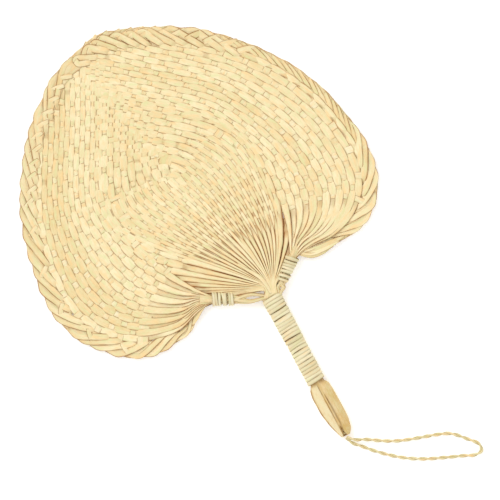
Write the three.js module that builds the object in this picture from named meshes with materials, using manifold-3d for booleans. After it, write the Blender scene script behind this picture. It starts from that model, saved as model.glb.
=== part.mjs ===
// A hand-woven palm leaf fan that lies on a table, face up, in millimetres.
// The blade's midline runs along +Y, +X is to its right, and +Z points away from the table, which is z = 0.
// The neck, where all the ribs meet, is the origin of the plan until the fan is centred at the end.
import * as THREE from "three";
import { mergeVertices } from "three/addons/utils/BufferGeometryUtils.js";
import Module from "manifold-3d";

// Clearance between pieces that touch.
const GAP = 0.3;

// Half of the blade outline, from beside a bundle round the lobe to the tip, as shares of half width and length.
const BLADE_HALF_WIDTH = 150;
const BLADE_LENGTH = 261;
const OUTLINE = [
  [0.5, 0.018],
  [0.62, 0.0145],
  [0.74, 0.034],
  [0.84, 0.077],
  [0.925, 0.145],
  [0.98, 0.225],
  [1, 0.32],
  [0.972, 0.45],
  [0.895, 0.58],
  [0.745, 0.73],
  [0.54, 0.86],
  [0.3, 0.955],
];
const OUTLINE_SAMPLES = 320;
const RIM_WIDTH = 13;
const RIM_END_SHARE = 0.3;
const RIM_EASE = 0.15;
const RIM_THICKNESS = 3.4;
const RIM_STEPS = 72;
const RIM_START = 0.012;

// The hand-made blade leans: its foot is turned about the neck and its midline is pushed to the left.
const FOOT_TURN = THREE.MathUtils.degToRad(13);
const FOOT_TURN_NEAR = 20;
const FOOT_TURN_FAR = 170;
const MIDLINE_SHIFT = -9;
const MIDLINE_RISE = 80;

// The blade is highest at the neck and comes down to the table at its rim.
const NECK_HEIGHT = 6.4;
const RIM_HEIGHT = 2.5;
const SLOPE_NEAR = 30;
const SLOPE_FAR = 150;

// Leaf fingers on each side. A rib spreads from the neck up to SHOULDER, then leans over to cross the midline.
const FINGERS = 9;
const FINGER_THICKNESS = 0.8;
const FINGER_WIDTH = 3.7;
const FINGER_ROOT_WIDTH = 1.3;
const FINGER_TIP_WIDTH = 1;
const ROOT_TAPER = 110;
const TIP_TAPER = 75;
const SHOULDER = 118;
const FIRST_REACH = 8;
const LAST_REACH = 66;
const SPREAD_POWER = 1.6;
const LEAN = 0.81;
const LEAN_EASE = 30;
const LEAF_BASE_RADIUS = 27;

// Folds of the fingers at the rim, as shares of the way from bundle to tip, and their way back down the lobe.
const FIRST_FOLD = 0.64;
const LAST_FOLD = 0.955;
const WIDEST = 0.43;
const FOLD_ROOM = 2.9;
const RETURN_PITCH = 6.1;
const RETURNS_AT_WIDEST = 9.5;
const STRAIGHT_RETURN = 0.1;
const SMOOTHING = 50;
const INNER_BEND = [62, 52];

// Wefts arch round the neck from rim to rim, below the first crossing of the fingers.
const WEFTS = 10;
const WEFT_WIDTH = 3.2;
const FIRST_WEFT = 57;
const LAST_WEFT = 124;
const FIRST_WEFT_END = 0.165;
const LAST_WEFT_END = 0.59;

// Shares of a crossing strip's way that keep its heading at the midline and bend it square to the rim.
const FINGER_HEADING_SHARE = 0.3;
const WEFT_HEADING_SHARE = 0.42;
const SQUARE_SHARE = 0.25;

// Points along a rib, half a crossing, a return and the return's last run.
const RIB_POINTS = 80;
const ACROSS_POINTS = 40;
const RETURN_POINTS = 100;
const LAST_RUN_POINTS = 20;

// Longest step between two rings of a strip, and the least share of its rise kept at a crossing's edge.
const STRIP_STEP = 15;
const LEAST_KEPT = 0.1;

// Handle: the stalk leaves the neck at this place and turn. u runs down it, from the top of the grip.
const HANDLE_AT = [-5.3, -6.5];
const HANDLE_TURN = THREE.MathUtils.degToRad(-10.9);
const GRIP_LENGTH = 81;
const GRIP_TOP_HALF = 7.3;
const GRIP_FOOT_HALF = 6.3;
const CORE_LOW = 2.1;
const CORE_HIGH = 10.5;
const BUTT_LENGTH = 50;
const BUTT_HALF = 9.8;
const BUTT_HIGH = 11;
// Share of the butt's length, left and right share of its half width, and low and high share of its height.
const BUTT_SECTIONS = [
  [0.06, 0.88, 0.9, 0, 0.96],
  [0.2, 1.02, 0.96, 0, 1],
  [0.5, 1, 0.99, 0, 1],
  [0.73, 0.8, 0.98, 0, 0.95],
  [0.92, 0.5, 0.78, 0.05, 0.85],
  [1, 0.34, 0.46, 0.14, 0.75],
];
// One ring of the stalk, as shares of half width and height: a flat underside and an off-centre keel.
const STALK_RING = [
  [-0.72, 0],
  [0.72, 0],
  [1, 0.3],
  [0.94, 0.64],
  [0.52, 0.92],
  [-0.22, 1],
  [-0.7, 0.74],
  [-1, 0.4],
];
const SLOT_WIDTH = 3.9;
const SLOT_LENGTH = 14;
// Head of the stalk, above the grip: its rise past the grip and its share of the grip's half width and height.
const HEAD_RISE = 4;
const HEAD_SHARE = 0.75;

// Leaf base: the flat fan of leaf that joins the ribs to the head of the stalk.
const BASE_THICKNESS = 1.6;
const BASE_SPREAD = THREE.MathUtils.degToRad(43);
const BASE_ROOT_HALF = 3;
const BASE_STEPS = 12;

// Bundles of finger tips: where each starts, where its binding ends, and the two corners of its spread mouth.
const BUNDLES = {
  left: { sign: -1, root: [-13.5, -1.5], end: [-46, 25], mouthOut: [62, 15.5], mouthIn: [52, 30] },
  right: { sign: 1, root: [7, -2.5], end: [31, 10], mouthOut: [43, 17], mouthIn: [34, 32] },
};
const BUNDLE_ROOT_RADIUS = 3.2;
const BUNDLE_RADIUS = 4.3;
const BUNDLE_MIDDLE = 6.6;
const BUNDLE_SIDES = 10;
const MOUTH_HALF_HEIGHT = 1.6;
const MOUTH_GAP = 0.8;

// Bindings: a flat strip wound in one unbroken run, whose ends lie straight under the core.
const STRIP_RISE = 1.2;
const STRIP_CROWN = 0.7;
const CORE_CLEARANCE = 0.6;
const GRIP_TURNS = 20;
const GRIP_STRIP = 3.1;
const GRIP_STEPS = 16;
const BUNDLE_TURNS = 7;
const BUNDLE_STRIP = { left: 2.2, right: 2.6 };
const BUNDLE_STEPS = 12;
// Where each bundle's binding starts, as a share of the way from its root to its end.
const BINDING_START = { left: 0.5, right: 0.08 };

// Wrist cord: a loop whose two ends lie one above the other at the butt's tip, on the hinge.
const CORD_DIAMETER = 3.1;
const CORD_STEPS = 64;
const CORD_SIDES = 8;
const CORD_EXIT_HEIGHT = 4.4;
const CORD_STACK = 1.9;
// Route from the lower end round the loop and back to the upper end, in the plan of the blade.
const CORD_ROUTE = [
  [-29.6, -143, 2.3],
  [-25.2, -150.5, 1.7],
  [-19.4, -160, 1.6],
  [-12, -170.5, 1.6],
  [-3.1, -181, 1.6],
  [9.1, -192, 1.6],
  [22.3, -201.3, 1.6],
  [35.8, -210.2, 1.6],
  [44.6, -216.2, 1.6],
  [50.6, -216.8, 1.6],
  [52.8, -211.8, 1.6],
  [47.4, -201, 1.6],
  [39.6, -189.4, 1.6],
  [29.9, -182.6, 1.6],
  [15.4, -174.6, 1.6],
  [0.5, -165.6, 1.6],
  [-10.2, -156.6, 2],
  [-18.4, -148.6, 3.6],
  [-25.6, -143, 5.6],
];

// Knot of the cord, held in the slot of the butt.
const KNOT_LENGTH = 9;
const KNOT_HEIGHT = 7;
const KNOT_SIDES = 14;
const KNOT_ROWS = 10;

const wasm = await Module();
wasm.setup();

const { lerp, smoothstep } = THREE.MathUtils;

function material(color, roughness) {
  return new THREE.MeshStandardMaterial({ color, roughness, metalness: 0 });
}
const STRAW = material(0xe6cf96, 0.65);
const PALE_STRAW = material(0xeadfb4, 0.6);
const DRY_STRAW = material(0xd9bd7c, 0.7);
const STALK = material(0xc9a05a, 0.55);
const TWINE = material(0xd8cc98, 0.8);

function named(name, geometry, look) {
  const mesh = new THREE.Mesh(geometry, look);
  mesh.name = name;
  return mesh;
}

function numbered(name, number) {
  return `${name}_${String(number).padStart(2, "0")}`;
}

// A closed solid from rings of equal size. Each is a list of Vector3, counter-clockwise seen from the start.
function loft(rings) {
  const size = rings[0].length;
  const spots = rings.flat().flatMap((p) => [p.x, p.y, p.z]);
  const faces = [];
  for (let i = 0; i + 1 < rings.length; i++)
    for (let j = 0; j < size; j++) {
      const a = i * size + j;
      const b = i * size + ((j + 1) % size);
      faces.push(a, a + size, b, b, a + size, b + size);
    }
  const last = (rings.length - 1) * size;
  for (let j = 1; j + 1 < size; j++) {
    faces.push(0, j, j + 1);
    faces.push(last, last + j + 1, last + j);
  }
  const made = new THREE.BufferGeometry();
  made.setAttribute("position", new THREE.Float32BufferAttribute(spots, 3));
  made.setIndex(faces);
  made.computeVertexNormals();
  return made;
}

function solid(geometry) {
  const bare = new THREE.BufferGeometry();
  bare.setAttribute("position", geometry.getAttribute("position").clone());
  if (geometry.index) bare.setIndex(geometry.index.clone());
  const merged = mergeVertices(bare, 1e-4);
  return new wasm.Manifold(
    new wasm.Mesh({
      numProp: 3,
      vertProperties: merged.attributes.position.array,
      triVerts: new Uint32Array(merged.index.array),
    }),
  );
}

function surface(body) {
  const mesh = body.getMesh();
  const made = new THREE.BufferGeometry();
  made.setAttribute("position", new THREE.Float32BufferAttribute(mesh.vertProperties, 3));
  made.setIndex([...mesh.triVerts]);
  made.computeVertexNormals();
  return made;
}

// A polyline in the plan, read by share of its length.
class Track {
  constructor(points) {
    this.points = points;
    this.reach = [0];
    for (let i = 1; i < points.length; i++)
      this.reach.push(this.reach[i - 1] + points[i].distanceTo(points[i - 1]));
    this.length = this.reach.at(-1);
  }

  span(along) {
    const next = this.reach.findIndex((r, i) => i > 0 && r >= along);
    return next < 1 ? this.points.length - 1 : next;
  }

  atLength(along) {
    const i = this.span(along);
    const share = (along - this.reach[i - 1]) / (this.reach[i] - this.reach[i - 1]);
    return this.points[i - 1].clone().lerp(this.points[i], share);
  }

  at(share) {
    return this.atLength(share * this.length);
  }

  // Unit normal on the left of the direction of travel.
  normal(share) {
    const i = this.span(share * this.length);
    const way = this.points[i].clone().sub(this.points[i - 1]).normalize();
    return new THREE.Vector2(-way.y, way.x);
  }
}

// Carries a point of the regular blade to the leaning, hand-made one.
function lean(p) {
  const turn = -FOOT_TURN * (1 - smoothstep(p.length(), FOOT_TURN_NEAR, FOOT_TURN_FAR));
  const made = p.clone().rotateAround(new THREE.Vector2(), turn);
  made.x += MIDLINE_SHIFT * smoothstep(made.y, 0, MIDLINE_RISE);
  return made;
}

function bladeHeight(p) {
  return lerp(NECK_HEIGHT, RIM_HEIGHT, smoothstep(p.length(), SLOPE_NEAR, SLOPE_FAR));
}

// Half outline of the regular blade on the right, from the bundle's mouth to the tip.
function halfOutline(side) {
  const half = OUTLINE.map(([x, y]) => [x * BLADE_HALF_WIDTH, y * BLADE_LENGTH]);
  const points = [BUNDLES[side].mouthOut, ...half, [0, BLADE_LENGTH]];
  const beyond = half.at(-1);
  const curve = new THREE.CatmullRomCurve3(
    [...points, [-beyond[0], beyond[1]]].map(([x, y]) => new THREE.Vector3(x, y, 0)),
  );
  const end = (points.length - 1) / points.length;
  const samples = [];
  for (let i = 0; i <= OUTLINE_SAMPLES; i++) {
    const p = curve.getPoint((end * i) / OUTLINE_SAMPLES);
    samples.push(new THREE.Vector2(p.x, p.y));
  }
  return new Track(samples);
}
const RIM = { left: halfOutline("left"), right: halfOutline("right") };

function rimWidth(share) {
  return RIM_WIDTH * lerp(RIM_END_SHARE, 1, smoothstep(share, 0, RIM_EASE));
}

// A point this far inside the outline, on the right of the regular blade.
function inset(side, share, depth) {
  return RIM[side].at(share).addScaledVector(RIM[side].normal(share), depth);
}

function mirrored(side, points) {
  return points.map((p) => new THREE.Vector2(BUNDLES[side].sign * p.x, p.y));
}

// How far a leaning rib has come in, this far above the shoulder.
function leanIn(above) {
  return above < LEAN_EASE ? (LEAN * above * above) / (2 * LEAN_EASE) : LEAN * (above - LEAN_EASE / 2);
}

function ribReach(number) {
  return lerp(FIRST_REACH, LAST_REACH, (number - 1) / (FINGERS - 1));
}

// Height at which a rib meets the midline.
function crossing(number) {
  const reach = ribReach(number);
  const eased = leanIn(LEAN_EASE);
  return SHOULDER + (reach < eased ? Math.sqrt((2 * LEAN_EASE * reach) / LEAN) : reach / LEAN + LEAN_EASE / 2);
}

function ribPoint(number, y) {
  const rising = 1 - (1 - Math.min(y / SHOULDER, 1)) ** SPREAD_POWER;
  return new THREE.Vector2(ribReach(number) * rising - leanIn(Math.max(y - SHOULDER, 0)), y);
}

function foldShare(number) {
  return lerp(FIRST_FOLD, LAST_FOLD, (number - 1) / (FINGERS - 1));
}

// How many fingers have folded below this share of the outline.
function foldsBelow(share) {
  return Math.max(0, 1 + ((FINGERS - 1) * (share - FIRST_FOLD)) / (LAST_FOLD - FIRST_FOLD));
}

// A point of the lobe, in pitches from the rim.
function lobePoint(side, share, pitches) {
  const edge = inset(side, share, rimWidth(share) + FOLD_ROOM);
  if (share >= WIDEST) return edge.addScaledVector(RIM[side].normal(share), RETURN_PITCH * pitches);
  const most = inset(side, WIDEST, RIM_WIDTH + FOLD_ROOM + RETURN_PITCH * RETURNS_AT_WIDEST);
  const inner = new THREE.QuadraticBezierCurve(
    new THREE.Vector2(...BUNDLES[side].mouthIn),
    new THREE.Vector2(...INNER_BEND),
    most,
  );
  const up = share / WIDEST;
  return edge.lerp(inner.getPoint(up), pitches / lerp(FINGERS + 1, RETURNS_AT_WIDEST, up));
}

// A curve from the midline to the rim, which it meets square.
function acrossHalf(side, start, heading, reach, share, depth) {
  const end = inset(side, share, depth);
  const apart = start.distanceTo(end);
  const curve = new THREE.CubicBezierCurve(
    start,
    start.clone().addScaledVector(heading, reach * apart),
    end.clone().addScaledVector(RIM[side].normal(share), SQUARE_SHARE * apart),
    end,
  );
  return curve.getPoints(ACROSS_POINTS);
}

// The same polyline with its bends eased and its ends kept.
function smoothed(points) {
  let now = points;
  for (let pass = 0; pass < SMOOTHING; pass++)
    now = now.map((p, i) =>
      i === 0 || i === now.length - 1
        ? p
        : p.clone().multiplyScalar(2).add(now[i - 1]).add(now[i + 1]).divideScalar(4),
    );
  return now;
}

// Plan of one finger: rib, crossing, fold at the far rim, and the way back to the far bundle.
function fingerPlan(side, number) {
  const far = side === "left" ? "right" : "left";
  const top = crossing(number);
  const rib = [];
  for (let i = 0; i < RIB_POINTS; i++) rib.push(ribPoint(number, (top * i) / RIB_POINTS));
  const start = rib.findIndex((p) => p.length() > LEAF_BASE_RADIUS + GAP);
  const share = foldShare(number);
  const slope = (LEAN * Math.min(top - SHOULDER, LEAN_EASE)) / LEAN_EASE;
  const heading = new THREE.Vector2(slope, 1).normalize();
  const depth = rimWidth(share) + FOLD_ROOM;
  const across = acrossHalf(far, new THREE.Vector2(0, top), heading, FINGER_HEADING_SHARE, share, depth);
  const back = [across.at(-1)];
  for (let i = 1; i <= RETURN_POINTS; i++) {
    const down = lerp(share, STRAIGHT_RETURN, i / RETURN_POINTS);
    back.push(lobePoint(far, down, number - foldsBelow(down)));
  }
  const { mouthOut, mouthIn } = BUNDLES[far];
  const mouth = new THREE.Vector2(...mouthOut).lerp(new THREE.Vector2(...mouthIn), number / (FINGERS + 1));
  const last = back.at(-1);
  for (let i = 1; i <= LAST_RUN_POINTS; i++) back.push(last.clone().lerp(mouth, i / LAST_RUN_POINTS));
  const out = [...mirrored(side, rib.slice(start)), ...mirrored(far, across.slice(1))];
  return [...smoothed(out), ...smoothed(mirrored(far, back)).slice(1)];
}

// Plan of one weft, from the left rim over the midline to the right rim.
function weftPlan(number) {
  const step = (number - 1) / (WEFTS - 1);
  const start = new THREE.Vector2(0, lerp(FIRST_WEFT, LAST_WEFT, step));
  const share = lerp(FIRST_WEFT_END, LAST_WEFT_END, step);
  const depth = rimWidth(share) + 2 * GAP;
  const level = new THREE.Vector2(1, 0);
  const half = (side) => mirrored(side, acrossHalf(side, start, level, WEFT_HEADING_SHARE, share, depth));
  return [...half("left").reverse().slice(0, -1), ...half("right")];
}

const strips = [];
for (const side of ["left", "right"])
  for (let i = 1; i <= FINGERS; i++) {
    const name = numbered(`finger_${side}`, i);
    strips.push({ name, track: new Track(fingerPlan(side, i).map(lean)), finger: true });
  }
for (let i = 1; i <= WEFTS; i++)
  strips.push({ name: numbered("weft", i), track: new Track(weftPlan(i).map(lean)), finger: false });

function stripWidth(strip, along) {
  if (!strip.finger) return WEFT_WIDTH;
  const root = smoothstep(along, 0, ROOT_TAPER);
  const tip = smoothstep(strip.track.length - along, 0, TIP_TAPER);
  return Math.min(lerp(FINGER_ROOT_WIDTH, FINGER_WIDTH, root), lerp(FINGER_TIP_WIDTH, FINGER_WIDTH, tip));
}

// Every place where two strips cross in the plan.
function findCrossings(all) {
  const found = [];
  const hit = (p, q, r, s) => {
    const d = (q.x - p.x) * (s.y - r.y) - (q.y - p.y) * (s.x - r.x);
    if (Math.abs(d) < 1e-12) return null;
    const t = ((r.x - p.x) * (s.y - r.y) - (r.y - p.y) * (s.x - r.x)) / d;
    const u = ((r.x - p.x) * (q.y - p.y) - (r.y - p.y) * (q.x - p.x)) / d;
    return t >= 0 && t < 1 && u >= 0 && u < 1 ? [t, u] : null;
  };
  all.forEach((a, ia) =>
    all.slice(ia + 1).forEach((b) => {
      const pa = a.track.points;
      const pb = b.track.points;
      for (let i = 1; i < pa.length; i++)
        for (let j = 1; j < pb.length; j++) {
          const met = hit(pa[i - 1], pa[i], pb[j - 1], pb[j]);
          if (!met) continue;
          const wayA = pa[i].clone().sub(pa[i - 1]);
          const wayB = pb[j].clone().sub(pb[j - 1]);
          const angle = Math.abs(Math.sin(wayA.angle() - wayB.angle()));
          found.push({
            strips: [a, b],
            along: [
              a.track.reach[i - 1] + met[0] * wayA.length(),
              b.track.reach[j - 1] + met[1] * wayB.length(),
            ],
            sine: angle,
            over: 0,
          });
        }
    }),
  );
  return found;
}

// Plain weave: along each strip the crossings go over and under in turn. over is 1 with the first strip on top.
function weave(all, found) {
  for (const strip of all) {
    strip.crossings = found
      .filter((c) => c.strips.includes(strip))
      .map((c) => ({ c, rank: c.strips.indexOf(strip) }))
      .sort((m, n) => m.c.along[m.rank] - n.c.along[n.rank]);
  }
  let clashes = 0;
  const queue = [found[0]];
  found[0].over = 1;
  while (queue.length) {
    const c = queue.pop();
    c.strips.forEach((strip, rank) => {
      const here = strip.crossings.findIndex((m) => m.c === c);
      const level = rank ? -c.over : c.over;
      for (const next of [here - 1, here + 1]) {
        const m = strip.crossings[next];
        if (!m) continue;
        const over = m.rank ? level : -level;
        if (m.c.over === 0) {
          m.c.over = over;
          queue.push(m.c);
        } else if (m.c.over !== over) clashes++;
      }
    });
  }
  return clashes;
}

const crossings = findCrossings(strips);
const clashes = weave(strips, crossings);

// Share of the full rise that a strip still has at the edge of the strip it crosses.
function keptRise(strip, place) {
  const { c, rank } = strip.crossings[place];
  const here = c.along[rank];
  const before = strip.crossings[place - 1];
  const after = strip.crossings[place + 1];
  const room = Math.min(
    before ? here - before.c.along[before.rank] : 2 * here,
    after ? after.c.along[after.rank] - here : 2 * (strip.track.length - here),
  );
  const own = stripWidth(strip, here) / 2;
  const other = stripWidth(c.strips[1 - rank], c.along[1 - rank]) / 2;
  const half = other / c.sine + own * Math.sqrt(1 / (c.sine * c.sine) - 1);
  return 1 - (2 * half) / room;
}

// A strip is flat below and ridged above, so the one on top must clear the ridge, and edges must clear edges.
let rise = 0;
for (const c of crossings) {
  const kept = c.strips.map((strip) => keptRise(strip, strip.crossings.findIndex((m) => m.c === c)));
  const overRidge = (FINGER_THICKNESS + GAP) / (1 + Math.min(...kept));
  rise = Math.max(rise, overRidge, GAP / Math.max(kept[0] + kept[1], LEAST_KEPT));
}
const WEAVE_RISE = rise;
console.log(`${crossings.length} crossings, ${clashes} out of turn, rise ${WEAVE_RISE.toFixed(2)} mm`);

// One strip as a solid: a ring at each crossing, and between them where it bends or the way is long.
function stripSolid(strip) {
  const { track } = strip;
  const knots = [{ along: 0, lift: 0 }];
  for (const { c, rank } of strip.crossings)
    knots.push({ along: c.along[rank], lift: (rank ? -c.over : c.over) * WEAVE_RISE });
  knots.push({ along: track.length, lift: 0 });
  const stations = [];
  knots.forEach((knot, i) => {
    if (i) {
      const last = knots[i - 1];
      const pieces = Math.max(1, Math.ceil((knot.along - last.along) / STRIP_STEP));
      for (let j = 1; j < pieces; j++) {
        const share = j / pieces;
        stations.push({ along: lerp(last.along, knot.along, share), lift: lerp(last.lift, knot.lift, share) });
      }
    }
    stations.push(knot);
  });
  const spots = stations.map((s) => track.atLength(Math.min(s.along, track.length)));
  const rings = stations.map((s, i) => {
    const way = spots[Math.min(i + 1, spots.length - 1)].clone().sub(spots[Math.max(i - 1, 0)]).normalize();
    const side = new THREE.Vector2(-way.y, way.x).multiplyScalar(stripWidth(strip, s.along) / 2);
    const z = bladeHeight(spots[i]) + s.lift;
    const corner = (across, up) =>
      new THREE.Vector3(spots[i].x + across * side.x, spots[i].y + across * side.y, z + up);
    return [corner(-1, 0), corner(0, FINGER_THICKNESS), corner(1, 0)];
  });
  return loft(rings);
}

// The plaited border as a plain band that lies on the table.
function rimSolid() {
  const shares = [];
  for (let i = 0; i <= RIM_STEPS / 2; i++) shares.push(lerp(RIM_START, 1, i / (RIM_STEPS / 2)));
  const ring = (side, share) => {
    const edges = [inset(side, share, 0), inset(side, share, rimWidth(share))];
    return mirrored(side, edges).map(lean);
  };
  const stations = [
    ...shares.map((s) => ring("right", s)),
    ...shares.slice(0, -1).reverse().map((s) => ring("left", s)),
  ];
  const corner = (p, z) => new THREE.Vector3(p.x, p.y, z);
  return loft(
    stations.map(([outer, inner]) => [
      corner(inner, 0),
      corner(outer, 0),
      corner(outer, RIM_THICKNESS),
      corner(inner, RIM_THICKNESS),
    ]),
  );
}

// The grip's core has a round ring of as many points, which starts at the same corner.
const ROUND_START = -2.5;
const ROUND_RING = STALK_RING.map((_, k) => {
  const turn = (2 * Math.PI * (k + ROUND_START)) / STALK_RING.length;
  return [Math.cos(turn), (1 + Math.sin(turn)) / 2];
});

// Stalk with its butt, along -Y of the handle, from the tip of the butt to the head.
function stalkRing(shape, u, left, right, low, high) {
  return shape.map(([x, z]) => new THREE.Vector3(x * (x < 0 ? left : right), -u, lerp(low, high, z)));
}
function stem() {
  const coreMiddle = (CORE_LOW + CORE_HIGH) / 2;
  const headHalf = (HEAD_SHARE * (CORE_HIGH - CORE_LOW)) / 2;
  const headWidth = HEAD_SHARE * GRIP_TOP_HALF;
  const rings = [
    stalkRing(ROUND_RING, -HEAD_RISE, headWidth, headWidth, coreMiddle - headHalf, coreMiddle + headHalf),
    stalkRing(ROUND_RING, 0, GRIP_TOP_HALF, GRIP_TOP_HALF, CORE_LOW, CORE_HIGH),
    stalkRing(ROUND_RING, GRIP_LENGTH, GRIP_FOOT_HALF, GRIP_FOOT_HALF, CORE_LOW, CORE_HIGH),
    ...BUTT_SECTIONS.map(([down, left, right, low, high]) =>
      stalkRing(
        STALK_RING,
        GRIP_LENGTH + down * BUTT_LENGTH,
        left * BUTT_HALF,
        right * BUTT_HALF,
        low * BUTT_HIGH,
        high * BUTT_HIGH,
      ),
    ),
  ];
  const slot = new THREE.BoxGeometry(SLOT_WIDTH, 2 * SLOT_LENGTH, 4 * BUTT_HIGH);
  slot.translate(0, -(GRIP_LENGTH + BUTT_LENGTH), 0);
  return surface(solid(loft(rings.reverse())).subtract(solid(slot)));
}

// Knot of the cord, swollen in the slot and flush with the butt's tip.
function knot() {
  const made = new THREE.SphereGeometry(1, KNOT_SIDES, KNOT_ROWS);
  made.scale((SLOT_WIDTH - 2 * GAP) / 2, KNOT_LENGTH / 2, KNOT_HEIGHT / 2);
  made.translate(0, KNOT_LENGTH / 2 - GRIP_LENGTH - BUTT_LENGTH, CORD_EXIT_HEIGHT);
  return surface(solid(made));
}

// A place on the handle, carried to the plan.
function onHandle(v, u) {
  const p = new THREE.Vector2(v, -u).rotateAround(new THREE.Vector2(), HANDLE_TURN);
  return p.add(new THREE.Vector2(...HANDLE_AT));
}

function leafBase() {
  const outline = [onHandle(BASE_ROOT_HALF, -HEAD_RISE - GAP), onHandle(-BASE_ROOT_HALF, -HEAD_RISE - GAP)];
  for (let i = 0; i <= BASE_STEPS; i++) {
    const turn = lerp(-BASE_SPREAD, BASE_SPREAD, i / BASE_STEPS);
    const p = new THREE.Vector2(Math.sin(turn), Math.cos(turn)).multiplyScalar(LEAF_BASE_RADIUS - GAP);
    outline.push(lean(p));
  }
  const shape = new THREE.Shape(outline);
  const made = new THREE.ExtrudeGeometry(shape, { depth: BASE_THICKNESS, bevelEnabled: false });
  return made.translate(0, 0, NECK_HEIGHT + (FINGER_THICKNESS - BASE_THICKNESS) / 2);
}

// One bundle of finger tips: round where it is bound, then spread flat to its mouth.
function bundleWay(side) {
  const { root, end } = BUNDLES[side];
  return [new THREE.Vector2(...root), new THREE.Vector2(...end)];
}
function bundle(side) {
  const { sign, mouthOut, mouthIn } = BUNDLES[side];
  const corners = mirrored(side, [mouthOut, mouthIn].map(([x, y]) => new THREE.Vector2(x, y))).map(lean);
  const [right, left] = sign > 0 ? corners : corners.reverse();
  const [root, end] = bundleWay(side);
  const way = end.clone().sub(root).normalize();
  const across = new THREE.Vector2(-way.y, way.x);
  const spread = left.clone().sub(right).multiplyScalar(0.5);
  const back = new THREE.Vector2(-spread.y, spread.x).normalize().multiplyScalar(MOUTH_GAP);
  const mouth = left.clone().add(right).multiplyScalar(0.5).add(back);
  const ring = (middle, half, high, z) =>
    Array.from({ length: BUNDLE_SIDES }, (_, k) => {
      const turn = (2 * Math.PI * k) / BUNDLE_SIDES;
      const p = middle.clone().addScaledVector(half, -Math.cos(turn));
      return new THREE.Vector3(p.x, p.y, z + high * Math.sin(turn));
    });
  const rootHalf = across.clone().multiplyScalar(BUNDLE_ROOT_RADIUS);
  const endHalf = across.clone().multiplyScalar(BUNDLE_RADIUS);
  const mouthMiddle = bladeHeight(mouth) + FINGER_THICKNESS / 2;
  return loft([
    ring(root, rootHalf, BUNDLE_ROOT_RADIUS, BUNDLE_MIDDLE),
    ring(end, endHalf, BUNDLE_RADIUS, BUNDLE_MIDDLE),
    ring(mouth, spread, MOUTH_HALF_HEIGHT, mouthMiddle),
  ]);
}

// A flat strip wound round a straight core, with its least gap to itself.
// halfWide and halfHigh give the core's half sizes at a share of the way.
function winding({ name, from, to, middle, halfWide, halfHigh, turns, steps, strip }) {
  const way = to.clone().sub(from);
  const length = way.length() - strip;
  way.normalize();
  const across = new THREE.Vector2(-way.y, way.x);
  const ringAt = (share, turn, straight) => {
    const corner = (along, out) => {
      const wide = halfWide(share) + CORE_CLEARANCE + out;
      const high = halfHigh(share) + CORE_CLEARANCE + out;
      const p = from.clone().addScaledVector(way, strip / 2 + share * length + (along * strip) / 2);
      p.addScaledVector(across, wide * Math.sin(turn) + straight);
      return new THREE.Vector3(p.x, p.y, middle - high * Math.cos(turn));
    };
    return [corner(1, 0), corner(-1, 0), corner(-STRIP_CROWN, STRIP_RISE), corner(STRIP_CROWN, STRIP_RISE)];
  };
  const total = turns * steps;
  const rings = [ringAt(0, 0, -strip)];
  for (let i = 0; i <= total; i++) rings.push(ringAt(i / total, (2 * Math.PI * i) / steps, 0));
  rings.push(ringAt(1, 0, strip));
  let least = Infinity;
  for (let i = 0; i < rings.length; i++)
    for (let j = i + Math.ceil(steps / 2); j < rings.length; j++)
      for (const p of rings[i]) for (const q of rings[j]) least = Math.min(least, p.distanceTo(q));
  console.log(`${name}: ${turns} turns, least gap to itself ${least.toFixed(2)} mm`);
  return loft(rings);
}

function gripBinding(name) {
  const half = (CORE_HIGH - CORE_LOW) / 2;
  return winding({
    name,
    from: onHandle(0, GAP),
    to: onHandle(0, GRIP_LENGTH - GAP),
    middle: CORE_LOW + half,
    halfWide: (share) => lerp(GRIP_TOP_HALF, GRIP_FOOT_HALF, share),
    halfHigh: () => half,
    turns: GRIP_TURNS,
    steps: GRIP_STEPS,
    strip: GRIP_STRIP,
  });
}

function bundleBinding(name, side) {
  const [root, end] = bundleWay(side);
  const start = BINDING_START[side];
  const radius = (share) => lerp(BUNDLE_ROOT_RADIUS, BUNDLE_RADIUS, lerp(start, 1, share));
  return winding({
    name,
    from: root.clone().lerp(end, start),
    to: end,
    middle: BUNDLE_MIDDLE,
    halfWide: radius,
    halfHigh: radius,
    turns: BUNDLE_TURNS,
    steps: BUNDLE_STEPS,
    strip: BUNDLE_STRIP[side],
  });
}

// The wrist cord, with round ends on the hinge.
const HINGE = onHandle(0, GRIP_LENGTH + BUTT_LENGTH + CORD_DIAMETER / 2 + GAP);
function wristCord() {
  const radius = CORD_DIAMETER / 2;
  const heights = [CORD_EXIT_HEIGHT - CORD_STACK, CORD_EXIT_HEIGHT + CORD_STACK];
  const ends = heights.map((z) => new THREE.Vector3(HINGE.x, HINGE.y, z));
  const route = CORD_ROUTE.map(([x, y, z]) => new THREE.Vector3(x, y, z));
  const extrudePath = new THREE.CatmullRomCurve3([ends[0], ...route, ends[1]]);
  const section = new THREE.Shape();
  for (let k = 0; k < CORD_SIDES; k++) {
    const turn = (2 * Math.PI * k) / CORD_SIDES;
    section[k ? "lineTo" : "moveTo"](radius * Math.cos(turn), radius * Math.sin(turn));
  }
  const tube = new THREE.ExtrudeGeometry(section, { extrudePath, steps: CORD_STEPS, bevelEnabled: false });
  const ball = (p) => new THREE.SphereGeometry(radius, CORD_SIDES, CORD_SIDES).translate(p.x, p.y, p.z);
  return surface(wasm.Manifold.union([tube, ...ends.map(ball)].map(solid)));
}

const blade = [];
for (const strip of strips)
  blade.push(named(strip.name, stripSolid(strip), strip.finger ? STRAW : DRY_STRAW));
blade.push(named("rim_plait", rimSolid(), STRAW));
blade.push(named("leaf_base", leafBase(), DRY_STRAW));
for (const side of ["left", "right"]) {
  blade.push(named(`${side}_tip_bundle`, bundle(side), STRAW));
  blade.push(named(`${side}_bundle_binding`, bundleBinding(`${side}_bundle_binding`, side), PALE_STRAW));
}
blade.push(named("grip_binding", gripBinding("grip_binding"), PALE_STRAW));

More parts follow.
